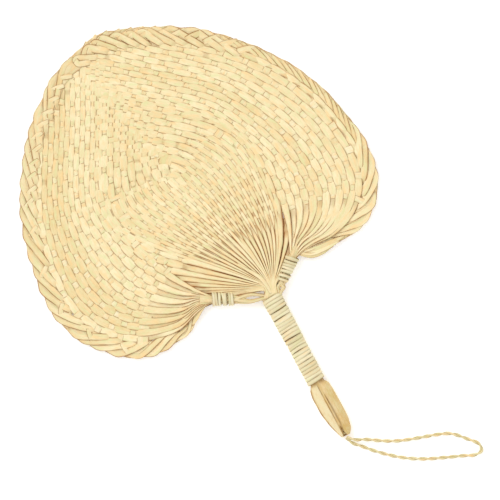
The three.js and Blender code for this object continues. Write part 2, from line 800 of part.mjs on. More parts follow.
const handle = new THREE.Group();
handle.position.set(...HANDLE_AT, 0);
handle.rotation.z = HANDLE_TURN;
handle.add(named("stem", stem(), STALK), named("cord_knot", knot(), TWINE));

// The fan without its cord stands centred over the origin.
const body = new THREE.Group().add(...blade, handle);
body.updateMatrixWorld(true);
const box = new THREE.Box3().setFromObject(body, true);
const placed = new THREE.Group().add(body, named("wrist_cord", wristCord(), TWINE));
placed.position.set(-(box.min.x + box.max.x) / 2, -(box.min.y + box.max.y) / 2, -box.min.z);
console.log("hinge of the cord", HINGE.x + placed.position.x, HINGE.y + placed.position.y);

const fan = new THREE.Group().add(placed);
export default fan;
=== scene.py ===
"""Looks of a hand-woven palm leaf fan that lies face up on a pale table.

The strips of the blade follow the same plan as the solids of the frame: ribs, crossings, folds at the rim
and returns to the two bundles. The plan is in millimetres about the neck, and each mesh is carried to the
frame in metres.
"""

import logging
import math
from dataclasses import dataclass, field
from enum import Enum
from itertools import combinations
from typing import Any, Callable, Iterator

import bpy
import numpy as np
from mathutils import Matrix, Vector


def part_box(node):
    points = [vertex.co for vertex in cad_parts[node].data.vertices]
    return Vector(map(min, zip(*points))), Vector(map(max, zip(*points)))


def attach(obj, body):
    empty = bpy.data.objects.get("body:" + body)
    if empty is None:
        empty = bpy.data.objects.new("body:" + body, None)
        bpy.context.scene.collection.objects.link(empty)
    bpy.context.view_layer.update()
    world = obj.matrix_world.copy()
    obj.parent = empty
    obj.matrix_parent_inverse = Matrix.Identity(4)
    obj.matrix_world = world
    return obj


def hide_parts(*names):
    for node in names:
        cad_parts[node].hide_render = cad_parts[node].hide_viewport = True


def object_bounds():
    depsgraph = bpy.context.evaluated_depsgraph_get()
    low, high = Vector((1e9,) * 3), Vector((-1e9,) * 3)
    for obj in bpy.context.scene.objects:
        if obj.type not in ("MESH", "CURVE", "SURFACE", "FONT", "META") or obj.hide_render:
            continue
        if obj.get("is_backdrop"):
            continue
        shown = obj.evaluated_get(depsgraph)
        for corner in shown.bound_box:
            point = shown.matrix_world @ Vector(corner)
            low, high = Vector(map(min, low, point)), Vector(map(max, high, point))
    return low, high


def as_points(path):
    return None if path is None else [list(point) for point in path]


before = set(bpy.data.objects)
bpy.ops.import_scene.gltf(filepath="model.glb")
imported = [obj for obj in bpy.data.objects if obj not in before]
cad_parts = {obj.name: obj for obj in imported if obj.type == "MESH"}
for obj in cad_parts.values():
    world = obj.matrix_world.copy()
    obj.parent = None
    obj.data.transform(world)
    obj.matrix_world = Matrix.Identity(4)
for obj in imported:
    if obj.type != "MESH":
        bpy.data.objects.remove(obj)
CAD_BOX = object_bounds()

LOG = logging.getLogger("palm_leaf_fan")
MM = 0.001
Array = np.ndarray
Values = Array | float
Pair = tuple[float, float]
Rng = np.random.Generator


class Side(Enum):
    """The two halves of the blade."""

    LEFT = "left"
    RIGHT = "right"

    @property
    def sign(self) -> float:
        """Sign of x on this half."""
        return 1.0 if self is Side.RIGHT else -1.0

    @property
    def far(self) -> "Side":
        """The other half."""
        return Side.LEFT if self is Side.RIGHT else Side.RIGHT


class Body(Enum):
    """Bodies of the frame that pieces ride on."""

    FAN = "fan"
    LOOP = "loop"


class Role(Enum):
    """What a woven strip does.

    A finger's way out from the neck, the second half of its fold up the rib, and over the midline, a short
    rib beside the fingers, a finger's way back to a bundle, a weft, or a short weft of a lobe.
    """

    OUT = "out"
    HALF = "half"
    OVER = "over"
    SIDE = "side"
    BACK = "back"
    WEFT = "weft"
    SHORT = "short"


class Slot(Enum):
    """Material slots of the record."""

    BLADE = "blade_straw"
    WEFT = "weft_straw"
    BINDING = "binding_straw"
    STALK = "stalk"
    TWINE = "twine"


def per_side(left: Any, right: Any) -> Any:
    """A dataclass field that holds one value for each half."""
    return field(default_factory=lambda: {Side.LEFT: left, Side.RIGHT: right})


def smoothstep(x: Values, low: float, high: float) -> Array:
    """Eased step t * t * (3 - 2 t), where t is the share of the way from low to high, within 0 and 1."""
    t = np.clip((np.asarray(x, float) - low) / (high - low), 0.0, 1.0)
    return t * t * (3 - 2 * t)


def fade(x: Values, low: float, high: float) -> Array:
    """Eased step down, from 1 at low to 0 at high."""
    return 1 - smoothstep(x, low, high)


def bell(x: Array, at: float, reach: Values) -> Array:
    """A smooth bump: exp(-((x - at) / reach)^2)."""
    return np.exp(-(((x - at) / reach) ** 2))


def lerp(a: Any, b: Any, share: Any) -> Any:
    """The value this share of the way from a to b."""
    return a + (b - a) * share


def joined(*parts: Any) -> Array:
    """Values side by side on a last axis, each stretched to the shape of all."""
    return np.stack(np.broadcast_arrays(*parts), axis=-1)


def distance(vectors: Array) -> Array:
    """How long the vectors are."""
    return np.linalg.norm(vectors, axis=-1)


def unit(vectors: Array) -> Array:
    """The vectors, each made one long."""
    return vectors / np.linalg.norm(vectors, axis=-1, keepdims=True)


def flat_cross(a: Array, b: Array) -> Array:
    """Cross product in the plane: a.x * b.y - a.y * b.x."""
    return a[..., 0] * b[..., 1] - a[..., 1] * b[..., 0]


def lengths(points: Array) -> Array:
    """The length reached along a polyline at each of its points."""
    return np.concatenate([[0.0], np.cumsum(distance(np.diff(points, axis=0)))])


def nearest(points: Array, others: Array) -> Array:
    """How far each point is from the nearest of the others."""
    return distance(points[:, None] - others[None]).min(axis=1)


def directions(path: Array) -> tuple[Array, Array, Array]:
    """Unit vectors along a mostly level path: its way, the level way to its left, and up from both."""
    way = unit(np.gradient(path, axis=0))
    left = unit(np.stack([-way[:, 1], way[:, 0], np.zeros(len(way))], axis=1))
    return way, left, np.cross(way, left)


def eased(values: Array, passes: int) -> Array:
    """Values or points with their bends eased and their ends kept: each pass averages them as 1, 2, 1."""
    now = np.array(values, float)
    for _ in range(passes):
        now[1:-1] = (now[:-2] + 2 * now[1:-1] + now[2:]) / 4
    return now


def through_points(points: Array, t: Array) -> Array:
    """A centripetal Catmull-Rom curve through the points.

    Each span is the cubic whose end slopes weigh the neighbouring spans by the square root of their length.

    Args:
        points: K points of any dimension.
        t: where to read the curve, from 0 to K - 1, one unit per span.

    Returns:
        One point per value of t.
    """
    p = np.vstack([2 * points[0] - points[1], points, 2 * points[-1] - points[-2]])
    span = np.clip(np.floor(t).astype(int), 0, len(points) - 2)
    w = (np.asarray(t, float) - span)[:, None]
    p0, p1, p2, p3 = (p[span + k] for k in range(4))
    spans = (p1 - p0, p2 - p1, p3 - p2)
    d0, d1, d2 = (np.sqrt(distance(step))[:, None] for step in spans)
    m1 = d1 * ((p1 - p0) / d0 - (p2 - p0) / (d0 + d1) + (p2 - p1) / d1)
    m2 = d1 * ((p2 - p1) / d1 - (p3 - p1) / (d1 + d2) + (p3 - p2) / d2)
    return p1 + m1 * w + (3 * (p2 - p1) - 2 * m1 - m2) * w**2 + (2 * (p1 - p2) + m1 + m2) * w**3


def resampled(points: Array, step: float) -> Array:
    """The same polyline with points about one step apart along its length."""
    reach = lengths(points)
    s = np.linspace(0, reach[-1], max(2, int(math.ceil(reach[-1] / step)) + 1))
    return np.stack([np.interp(s, reach, points[:, k]) for k in range(points.shape[1])], axis=1)


def smooth_path(knots: Any, samples: int, step: float) -> Array:
    """Points about one step apart on the smooth curve through the knots, read at this many samples."""
    points = np.array(knots, float)
    return resampled(through_points(points, np.linspace(0, len(points) - 1, samples)), step)


class Track:
    """A polyline in the plan, read by length or by share of its length."""

    def __init__(self, points: Array) -> None:
        """Keeps the points and the length reached at each."""
        self.points = np.asarray(points, float)
        self.steps = np.diff(self.points, axis=0)
        self.reach = lengths(self.points)

    @property
    def length(self) -> float:
        """Whole length."""
        return float(self.reach[-1])

    def at_length(self, along: Array) -> Array:
        """Points at these lengths along the track."""
        return np.stack([np.interp(along, self.reach, self.points[:, k]) for k in range(2)], axis=-1)

    def at(self, share: Array) -> Array:
        """Points at these shares of the length."""
        return self.at_length(np.asarray(share, float) * self.length)

    def normal(self, share: Array) -> Array:
        """Unit normals on the left of the direction of travel, at these shares."""
        along = np.asarray(share, float) * self.length
        i = np.clip(np.searchsorted(self.reach, along, side="left") - 1, 0, len(self.steps) - 1)
        way = unit(self.steps[i])
        return joined(-way[..., 1], way[..., 0])


@dataclass(frozen=True)
class BladePlan:
    """Plan of the blade about the neck, in millimetres: the regular heart shape and the lean of the made one.

    Points of the outline are shares of half the width and of the length. A dent is its place, its push from
    the middle and its reach. Ribs count from the midline, columns from the rim and wefts from the neck.
    """

    gap: float = 0.3
    half_width: float = 150.0
    length: float = 261.0
    outline: tuple[Pair, ...] = (
        (0.5, 0.018), (0.62, 0.0145), (0.74, 0.034), (0.84, 0.077), (0.925, 0.145), (0.98, 0.225),
        (1.0, 0.32), (0.972, 0.45), (0.895, 0.58), (0.745, 0.73), (0.54, 0.86), (0.3, 0.955),
    )
    outline_samples: int = 320
    rim_width: float = 13.0
    rim_end_share: float = 0.3
    rim_ease: float = 0.15
    foot_turn: float = math.radians(13)
    foot_between: Pair = (20.0, 170.0)
    midline_shift: float = -9.0
    midline_rise: float = 80.0
    middle: Pair = (8.0, 99.0)
    dents: tuple[tuple[float, float, float, float], ...] = (
        (-66.0, 17.0, 4.0, 16.0), (-150.0, 57.0, -4.2, 30.0), (-146.0, 140.0, -2.2, 35.0),
        (-108.0, 203.0, -2.8, 35.0), (-58.0, 242.0, -5.2, 42.0), (-8.0, 260.0, -2.8, 20.0),
        (22.0, 257.0, 3.4, 18.0),
    )
    neck_height: float = 6.4
    rim_height: float = 2.5
    slope_near: float = 30.0
    slope_far: float = 150.0
    fingers: int = 9
    shoulder: float = 118.0
    rib_reaches: Pair = (8.0, 66.0)
    spread_power: float = 1.6
    lean_share: float = 0.81
    lean_ease: float = 30.0
    rib_samples: int = 100
    root_radius: float = 4.0
    root: Pair = (-4.4, -5.5)
    root_spread: float = 0.045
    root_samples: int = 7
    root_passes: int = 6
    whole_ribs: tuple[float, ...] = (0.15, 1, 2, 3, 4, 5, 6, 7, 8, 9)
    half_ribs: tuple[float, ...] = (0.575, 1.5, 2.5, 3.5, 4.5, 5.5, 6.5, 7.5, 8.5)
    halves_over: tuple[float, ...] = (2.5, 5.5, 8.5)
    side_ribs: dict[Side, int] = per_side(9, 4)
    side_pitch: float = 4.0
    side_power: float = 0.3
    side_span: Pair = (0.5, 90.0)
    side_stop: float = 1.5
    side_beyond: int = 6
    beside_height: float = 110.0
    folds: Pair = (0.607, 0.955)
    widest: float = 0.43
    fold_room: float = 0.2
    returns: int = 12
    border_wide: float = 1.35
    return_pitch: float = 6.1
    upper_pitch: float = 4.7
    half_start: float = 36.0
    half_beyond: float = 11.0
    over_step: float = 1.5
    weft_rows: tuple[int, ...] = (0, 1, 2, 5, 6, 7, 8, 11, 12, 13)
    short_rows: dict[int, tuple[int, int]] = field(default_factory=lambda: {3: (3, 4), 7: (9, 10)})
    short_weft_from: float = 0.42
    short_weft_samples: int = 60
    over_until: dict[float, float] = field(
        default_factory=lambda: {0.575: 4.6, 1.5: 4.6, 3.5: 7.6, 4.5: 7.6, 6.5: 9.4, 7.5: 9.4}
    )
    returns_at_widest: float = 12.0
    straight_between: Pair = (0.5, 0.8)
    straight_return: float = 0.065
    tip_from: float = 0.4
    smoothing: int = 50
    inner_bend: dict[Side, Pair] = per_side((60.0, 52.0), (47.0, 58.0))
    bundle_end: dict[Side, Pair] = per_side((-46.0, 25.0), (31.0, 10.0))
    bundle_half: float = 3.0
    bundle_inside: float = 6.0
    wefts: int = 10
    weft_passes: int = 4
    first_weft: float = 57.0
    last_weft: float = 124.0
    weft_ends: Pair = (0.165, 0.59)
    finger_headings: Pair = (0.07, 0.3)
    weft_heading_share: float = 0.42
    weft_turn: float = math.radians(24)
    heading_fingers: float = 5.0
    square_share: float = 0.25
    across_samples: int = 41
    mouth_out: dict[Side, Pair] = per_side((62.0, 15.5), (43.0, 17.0))
    mouth_in: dict[Side, Pair] = per_side((52.0, 30.0), (34.0, 32.0))

    def leaned(self, p: Array) -> Array:
        """Points of the regular blade when its foot turns about the neck and its midline shifts."""
        turn = -self.foot_turn * fade(distance(p), *self.foot_between)
        x = p[..., 0] * np.cos(turn) - p[..., 1] * np.sin(turn)
        y = p[..., 0] * np.sin(turn) + p[..., 1] * np.cos(turn)
        return joined(x + self.midline_shift * smoothstep(y, 0, self.midline_rise), y)

    def lean(self, p: Array) -> Array:
        """Points of the regular blade carried to the made one, which leans and has dents.

        A dent pushes points from the blade's middle, or towards it, by push * exp(-(distance / reach)^2).
        """
        made = self.leaned(p)
        for dent_x, dent_y, push, reach in self.dents:
            at = np.array([dent_x, dent_y])
            near = bell(distance(made - at), 0.0, reach)
            made = made + push * near[..., None] * unit(at - self.middle)
        return made

    def height(self, p: Array) -> Array:
        """Height of the blade's middle, which eases down from the neck to the rim."""
        r = distance(p)
        return lerp(self.neck_height, self.rim_height, smoothstep(r, self.slope_near, self.slope_far))

    def half_outline(self, side: Side) -> Track:
        """Half the regular outline, on the right, from a bundle's mouth round the lobe to the tip."""
        half = np.array(self.outline) * (self.half_width, self.length)
        beyond = half[-1] * (-1, 1)
        points = np.vstack([self.mouth_out[side], half, (0, self.length), beyond])
        return Track(through_points(points, np.linspace(0, len(points) - 2, self.outline_samples + 1)))

    def rim_width_at(self, share: Array) -> Array:
        """Width of the plaited rim, which narrows towards the bundles."""
        return self.rim_width * lerp(self.rim_end_share, 1, smoothstep(share, 0, self.rim_ease))

    def inset(self, side: Side, share: Array, depth: Values) -> Array:
        """Points this far inside the outline, on the right of the regular blade."""
        rim = self.half_outline(side)
        depth = np.asarray(depth, float)
        return rim.at(share) + rim.normal(share) * depth[..., None]

    def on_side(self, side: Side, points: Array) -> Array:
        """The points of the right half, carried to a half of the made blade."""
        return self.lean(points * (side.sign, 1))

    def rib_reach(self, number: Values) -> Array:
        """How far a rib stands from the midline at the shoulder."""
        return lerp(*self.rib_reaches, (np.asarray(number, float) - 1) / (self.fingers - 1))

    def lean_in(self, above: Array) -> Array:
        """How far a rib has come in, this far above the shoulder: a parabola, then a straight line."""
        bent = self.lean_share * above**2 / (2 * self.lean_ease)
        return np.where(above < self.lean_ease, bent, self.lean_share * (above - self.lean_ease / 2))

    def crossing(self, number: float) -> float:
        """Height at which a rib meets the midline, where it has come in by its reach."""
        reach = float(self.rib_reach(number))
        if reach < float(self.lean_in(np.array(self.lean_ease))):
            return self.shoulder + math.sqrt(2 * self.lean_ease * reach / self.lean_share)
        return self.shoulder + reach / self.lean_share + self.lean_ease / 2

    def rib(self, number: Values, y: Array) -> Array:
        """Points of a rib at heights y, on the right of the regular blade.

        It stands at reach * (1 - (1 - y / shoulder)^power) and leans in above the shoulder. Numbers beyond
        the fingers give the short side ribs, whose reach and power grow.
        """
        beyond = np.maximum(np.asarray(number, float) - self.fingers, 0)
        reach = self.rib_reach(np.minimum(number, self.fingers)) + self.side_pitch * beyond
        power = self.spread_power + self.side_power * beyond
        x = reach * (1 - (1 - np.clip(y / self.shoulder, 0, 1)) ** power)
        x = x - self.lean_in(np.maximum(y - self.shoulder, 0))
        return joined(x, y)

    def fold_share(self, number: float) -> float:
        """Share of the outline where a finger folds, evenly for all that cross the midline."""
        rows = sorted(self.whole_ribs + self.halves_over)
        return lerp(*self.folds, np.interp(number, rows, np.linspace(0, 1, len(rows))))

    def straight_share(self, side: Side) -> float:
        """Share of the outline where it runs the way of the leaning ribs."""
        share = np.linspace(*self.straight_between, 301)
        normal = self.half_outline(side).normal(share)
        return float(share[np.argmin(np.abs(normal @ np.array([-self.lean_share, 1.0])))])

    def lobe(self, side: Side, share: Array, pitches: Array) -> Array:
        """Points of a lobe, counted in pitches from the rim: even above the widest place, fanned in below it.

        Below it they lie between the rim and a quadratic Bezier that starts at the bundle's mouth.

        Args:
            side: the half.
            share: shares of the outline.
            pitches: how many pitches inside the rim each point lies.

        Returns:
            Points on the right of the regular blade.
        """
        rim = self.half_outline(side)
        edge = self.inset(side, share, self.rim_width_at(share) + self.fold_room)
        closing = smoothstep(share, self.widest, self.straight_share(side))
        pitch = lerp(self.return_pitch, self.upper_pitch, closing)
        upper = edge + rim.normal(share) * (pitch * pitches)[:, None]
        deepest = self.rim_width + self.fold_room + self.return_pitch * self.returns_at_widest
        most = self.inset(side, np.array([self.widest]), deepest)[0]
        up = np.clip(share / self.widest, 0, 1)[:, None]
        inner = (1 - up) ** 2 * self.mouth_in[side] + 2 * up * (1 - up) * self.inner_bend[side] + up**2 * most
        lower = lerp(edge, inner, (pitches / self.returns_at_widest)[:, None])
        return np.where((share >= self.widest)[:, None], upper, lower)

    def to_rim(self, side: Side, start: Array) -> Array:
        """A straight way up from a point of the right half, as the ribs lean, to the rim of either half."""
        share = np.linspace(self.tip_from, 1, 400)
        near = self.inset(side, share, self.rim_width)
        far = self.inset(side.far, share, self.rim_width)[::-1] * (-1, 1)
        edge = np.vstack([near, far[1:]])
        way = np.array([-self.lean_share, 1.0]) / math.hypot(self.lean_share, 1.0)
        steps, apart = np.diff(edge, axis=0), edge[:-1] - start
        cross = flat_cross(way, steps)
        along = flat_cross(apart, steps) / cross
        on_step = flat_cross(apart, way) / cross
        reach = along[(on_step >= 0) & (on_step <= 1) & (along > 0)].min()
        return start + way * np.linspace(0, reach, max(2, int(reach / 2)))[:, None]

    def across_half(self, side: Side, start: Array, lead: Array, share: float, depth: float) -> Array:
        """A cubic Bezier from the midline to the rim, which it meets square.

        Args:
            side: the half.
            start: its start on the midline.
            lead: the way it sets out, as long as its handle's share of the distance.
            share: share of the outline where it ends.
            depth: how far inside the outline it ends.

        Returns:
            Points on the right of the regular blade.
        """
        at = np.array([share])
        end = self.inset(side, at, depth)[0]
        apart = float(np.linalg.norm(end - start))
        square = end + self.half_outline(side).normal(at)[0] * self.square_share * apart
        t = np.linspace(0, 1, self.across_samples)[:, None]
        handle = start + lead * apart
        return (1 - t) ** 3 * start + 3 * t * (1 - t) ** 2 * handle + 3 * t**2 * (1 - t) * square + t**3 * end

    def from_root(self, side: Side, number: float, points: Array) -> Array:
        """The way of a rib in the made blade, led out from under the top of the grip and eased."""
        root = np.array(self.root) + (side.sign * float(self.rib_reach(number)) * self.root_spread, 0)
        lead = lerp(root, points[0], np.linspace(0, 1, self.root_samples + 1)[:-1, None])
        return eased(np.vstack([lead, points]), self.root_passes)

    def way_out(self, side: Side, number: float, role: Role) -> Array:
        """Plan of a finger, from the neck up its rib to the midline, and over it to the far rim.

        Args:
            side: the half in which its rib stands.
            number: 1 near the midline to the last at the outside.
            role: whether it is the whole finger or the second half of its fold, which starts higher.

        Returns:
            Points of the made blade.
        """
        top = self.crossing(number)
        rib = self.rib(number, top * np.arange(self.rib_samples) / self.rib_samples)
        if role is Role.HALF:
            last = self.half_weft(side, self.wefts, self.weft_rows[-1])
            end = np.interp(rib[:, 0], last[:, 0], last[:, 1]) + self.half_beyond
            return self.on_side(side, rib[(rib[:, 1] >= self.half_start) & (rib[:, 1] < end)])
        rib = rib[distance(rib) > self.root_radius] * (side.sign, 1)
        made = self.lean(eased(np.vstack([rib, self._over(side, number)[1:]]), self.smoothing))
        return self.from_root(side, number, made)

    def _over(self, side: Side, number: float) -> Array:
        """Way of a finger of a half from the midline to the far rim, in the regular blade."""
        top, share = self.crossing(number), self.fold_share(number)
        slope = self.lean_share * min(top - self.shoulder, self.lean_ease) / self.lean_ease
        heading = np.array([slope, 1.0]) / math.hypot(slope, 1.0)
        depth = float(self.rim_width_at(share)) + self.fold_room
        lead = heading * float(lerp(*self.finger_headings, smoothstep(number, 0, self.heading_fingers)))
        way = self.across_half(side.far, np.array([0.0, top]), lead, share, depth)
        return way * (side.far.sign, 1)

    def way_over(self, side: Side, number: float) -> Array:
        """Plan of a fold's second half beyond the midline, to its end in the weave or at the far rim."""
        way = resampled(self._over(side, number), self.over_step)
        if number in self.over_until:
            last = self.rib(self.over_until[number], np.linspace(0, self.length, 400)) * (side.far.sign, 1)
            way = way[: int(np.argmin(nearest(way, last))) + 2]
        return self.lean(way)

    def beside(self, side: Side, number: float) -> list[Array]:
        """The ribs on both sides of a rib."""
        y = np.linspace(0, self.beside_height, 150)
        return [self.on_side(side, self.rib(n, y)) for n in (max(number - 1, 0), number + 1)]

    def way_aside(self, side: Side, number: int) -> Array:
        """Plan of a short side rib, from the neck to just beyond the innermost column of the lobe."""
        rib = self.rib(number, np.linspace(*self.side_span, 240))
        made = self.on_side(side, rib[distance(rib) > self.root_radius])
        near = nearest(made, self.way_back(side, self.returns)) < self.side_stop
        made = made[: int(np.argmax(near)) if near.any() else len(made)]
        more = unit(made[-1] - made[-4]) * np.arange(1, self.side_beyond + 1)[:, None]
        return self.from_root(side, number, np.vstack([made, made[-1] + more]))

    def way_back(self, side: Side, column: int) -> Array:
        """Plan of one of the columns in a half, from the rim near the tip down the lobe into the bundle.

        Args:
            side: the half in which it lies.
            column: 1 at the rim to the last at the inside.

        Returns:
            Points of the made blade.
        """
        down = np.linspace(self.straight_share(side), self.straight_return, 100)
        back = self.lobe(side, down, np.full(len(down), column - 0.5))
        back = np.vstack([self.to_rim(side, back[0])[:0:-1], back])
        across = column / (self.returns + 1)
        mouth = lerp(np.array(self.mouth_out[side]), np.array(self.mouth_in[side]), across)
        made = self.on_side(side, self._on_to(back, mouth))
        corners = self.on_side(side, np.array([self.mouth_out[side], self.mouth_in[side]]))
        over = unit(corners[1] - corners[0])
        end = np.array(self.bundle_end[side]) + over * self.bundle_half * (2 * across - 1)
        inside = end + unit(end - made[-1]) * self.bundle_inside
        return eased(self._on_to(made, inside), self.smoothing)

    @staticmethod
    def _on_to(points: Array, end: Array, count: int = 20) -> Array:
        """The points, and a straight run of more of them to an end."""
        return np.vstack([points, lerp(points[-1], end, (np.arange(1, count + 1) / count)[:, None])])

    def half_weft(self, side: Side, number: float, row: int) -> Array:
        """Half a weft of the regular blade, from its place on the midline to its row at the right rim."""
        start = np.array([0.0, lerp(self.first_weft, self.last_weft, (number - 1) / (self.wefts - 1))])
        share = lerp(*self.weft_ends, row / self.weft_rows[-1])
        depth = float(self.rim_width_at(share)) + 2 * self.gap
        turn = self.weft_turn * (max(number - 1, 0) / (self.wefts - 1)) ** 2
        lead = np.array([math.cos(turn), math.sin(turn)]) * self.weft_heading_share
        return self.across_half(side, start, lead, share, depth)

    def weft(self, number: int) -> Array:
        """Plan of one weft, from the left rim over the midline to the right rim."""
        left, right = (self.half_weft(side, number, self.weft_rows[number - 1]) for side in Side)
        return self.lean(eased(np.vstack([left[:0:-1] * (-1, 1), right]), self.weft_passes))

    def short_weft(self, side: Side, below: int, rank: int) -> Array:
        """Plan of one of two short wefts above another, from the rim to where the rows draw together."""
        row = Track(self.half_weft(side, below + (rank + 1) / 3, self.short_rows[below][rank]))
        return self.on_side(side, row.at(np.linspace(1, self.short_weft_from, self.short_weft_samples)))


PLAN = BladePlan()


@dataclass(frozen=True)
class Placing:
    """Carries the plan, in millimetres about the neck, to the frame, in metres."""

    shift: Pair

    @classmethod
    def from_frame(cls, plan: BladePlan) -> "Placing":
        """Finds the shift that sets the plan's outline on the rim's node."""
        edge = np.vstack([plan.leaned(plan.half_outline(side).points * (side.sign, 1)) for side in Side])
        low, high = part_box("rim_plait")
        x = (low.x + high.x) / 2 / MM - (edge[:, 0].min() + edge[:, 0].max()) / 2
        return cls((x, high.y / MM - edge[:, 1].max()))

    def __call__(self, points: Array) -> Array:
        """The points in the frame, in metres."""
        return (np.asarray(points, float) + (*self.shift, 0.0)) * MM


PLACE = Placing.from_frame(PLAN)


@dataclass
class Strip:
    """One woven strip: its track, the places where it crosses others, and its level there.

    The side is the half in which it lies on the face. Wide is how much wider than its room it is cut, and
    beside holds the ribs on both sides of it, if any.
    """

    name: str
    role: Role
    side: Side | None
    track: Track
    wide: float = 1.0
    beside: list[Array] | None = None
    lead: float = 14.0
    face_passes: int = 2
    along: list[float] = field(default_factory=list)
    level: list[int] = field(default_factory=list)
    faces: list[bool] = field(default_factory=list)
    pitch: list[float] = field(default_factory=list)

    def meet(self, along: float, level: int, faces: bool, pitch: float) -> None:
        """Adds a crossing: its length, 1 over or -1 under, whether it is on the face, and its room."""
        self.along.append(along)
        self.level.append(level)
        self.faces.append(faces)
        self.pitch.append(pitch)

    def swing(self, s: Array) -> Array:
        """From 1 at a crossing where the strip is over to -1 where it is under, by a cosine between them."""
        a, k = np.array(self.along), np.array(self.level, float)
        i = np.clip(np.searchsorted(a, s) - 1, 0, len(a) - 2)
        ease = (1 - np.cos(np.pi * np.clip((s - a[i]) / (a[i + 1] - a[i]), 0, 1))) / 2
        return lerp(k[i], k[i + 1], ease)

    def face(self, s: Array) -> Array:
        """From 1 where the strip lies on the face of the weave to -1 where it lies behind."""
        return np.interp(s, self.along, eased(np.where(self.faces, 1.0, -1.0), self.face_passes))

    def woven(self, s: Array, lead: float) -> Array:
        """From 1 among the crossings to 0 this far before the first and after the last."""
        first, last = self.along[0], self.along[-1]
        return smoothstep(s, first - lead, first) * fade(s, last, last + lead)

    def lift(self, s: Array, sharp: float, bias: float) -> Array:
        """Share of the weave's rise at lengths s, from 1 to -1.

        The swing c, shifted by the bias up on the face and down behind it, is flattened to
        c / sqrt(c^2 + sharp^2): strips on the face make long floats, and those behind show in short windows.
        """
        c = self.swing(s) + bias * self.face(s)
        return c / np.sqrt(c**2 + sharp**2) * self.woven(s, self.lead)


@dataclass(frozen=True)
class Crossing:
    """A place where two strips cross: their numbers, the lengths along them, their sine and the front one."""

    strips: tuple[int, int]
    along: Pair
    sine: float
    front: int


Row = list[tuple[float, int, int]]


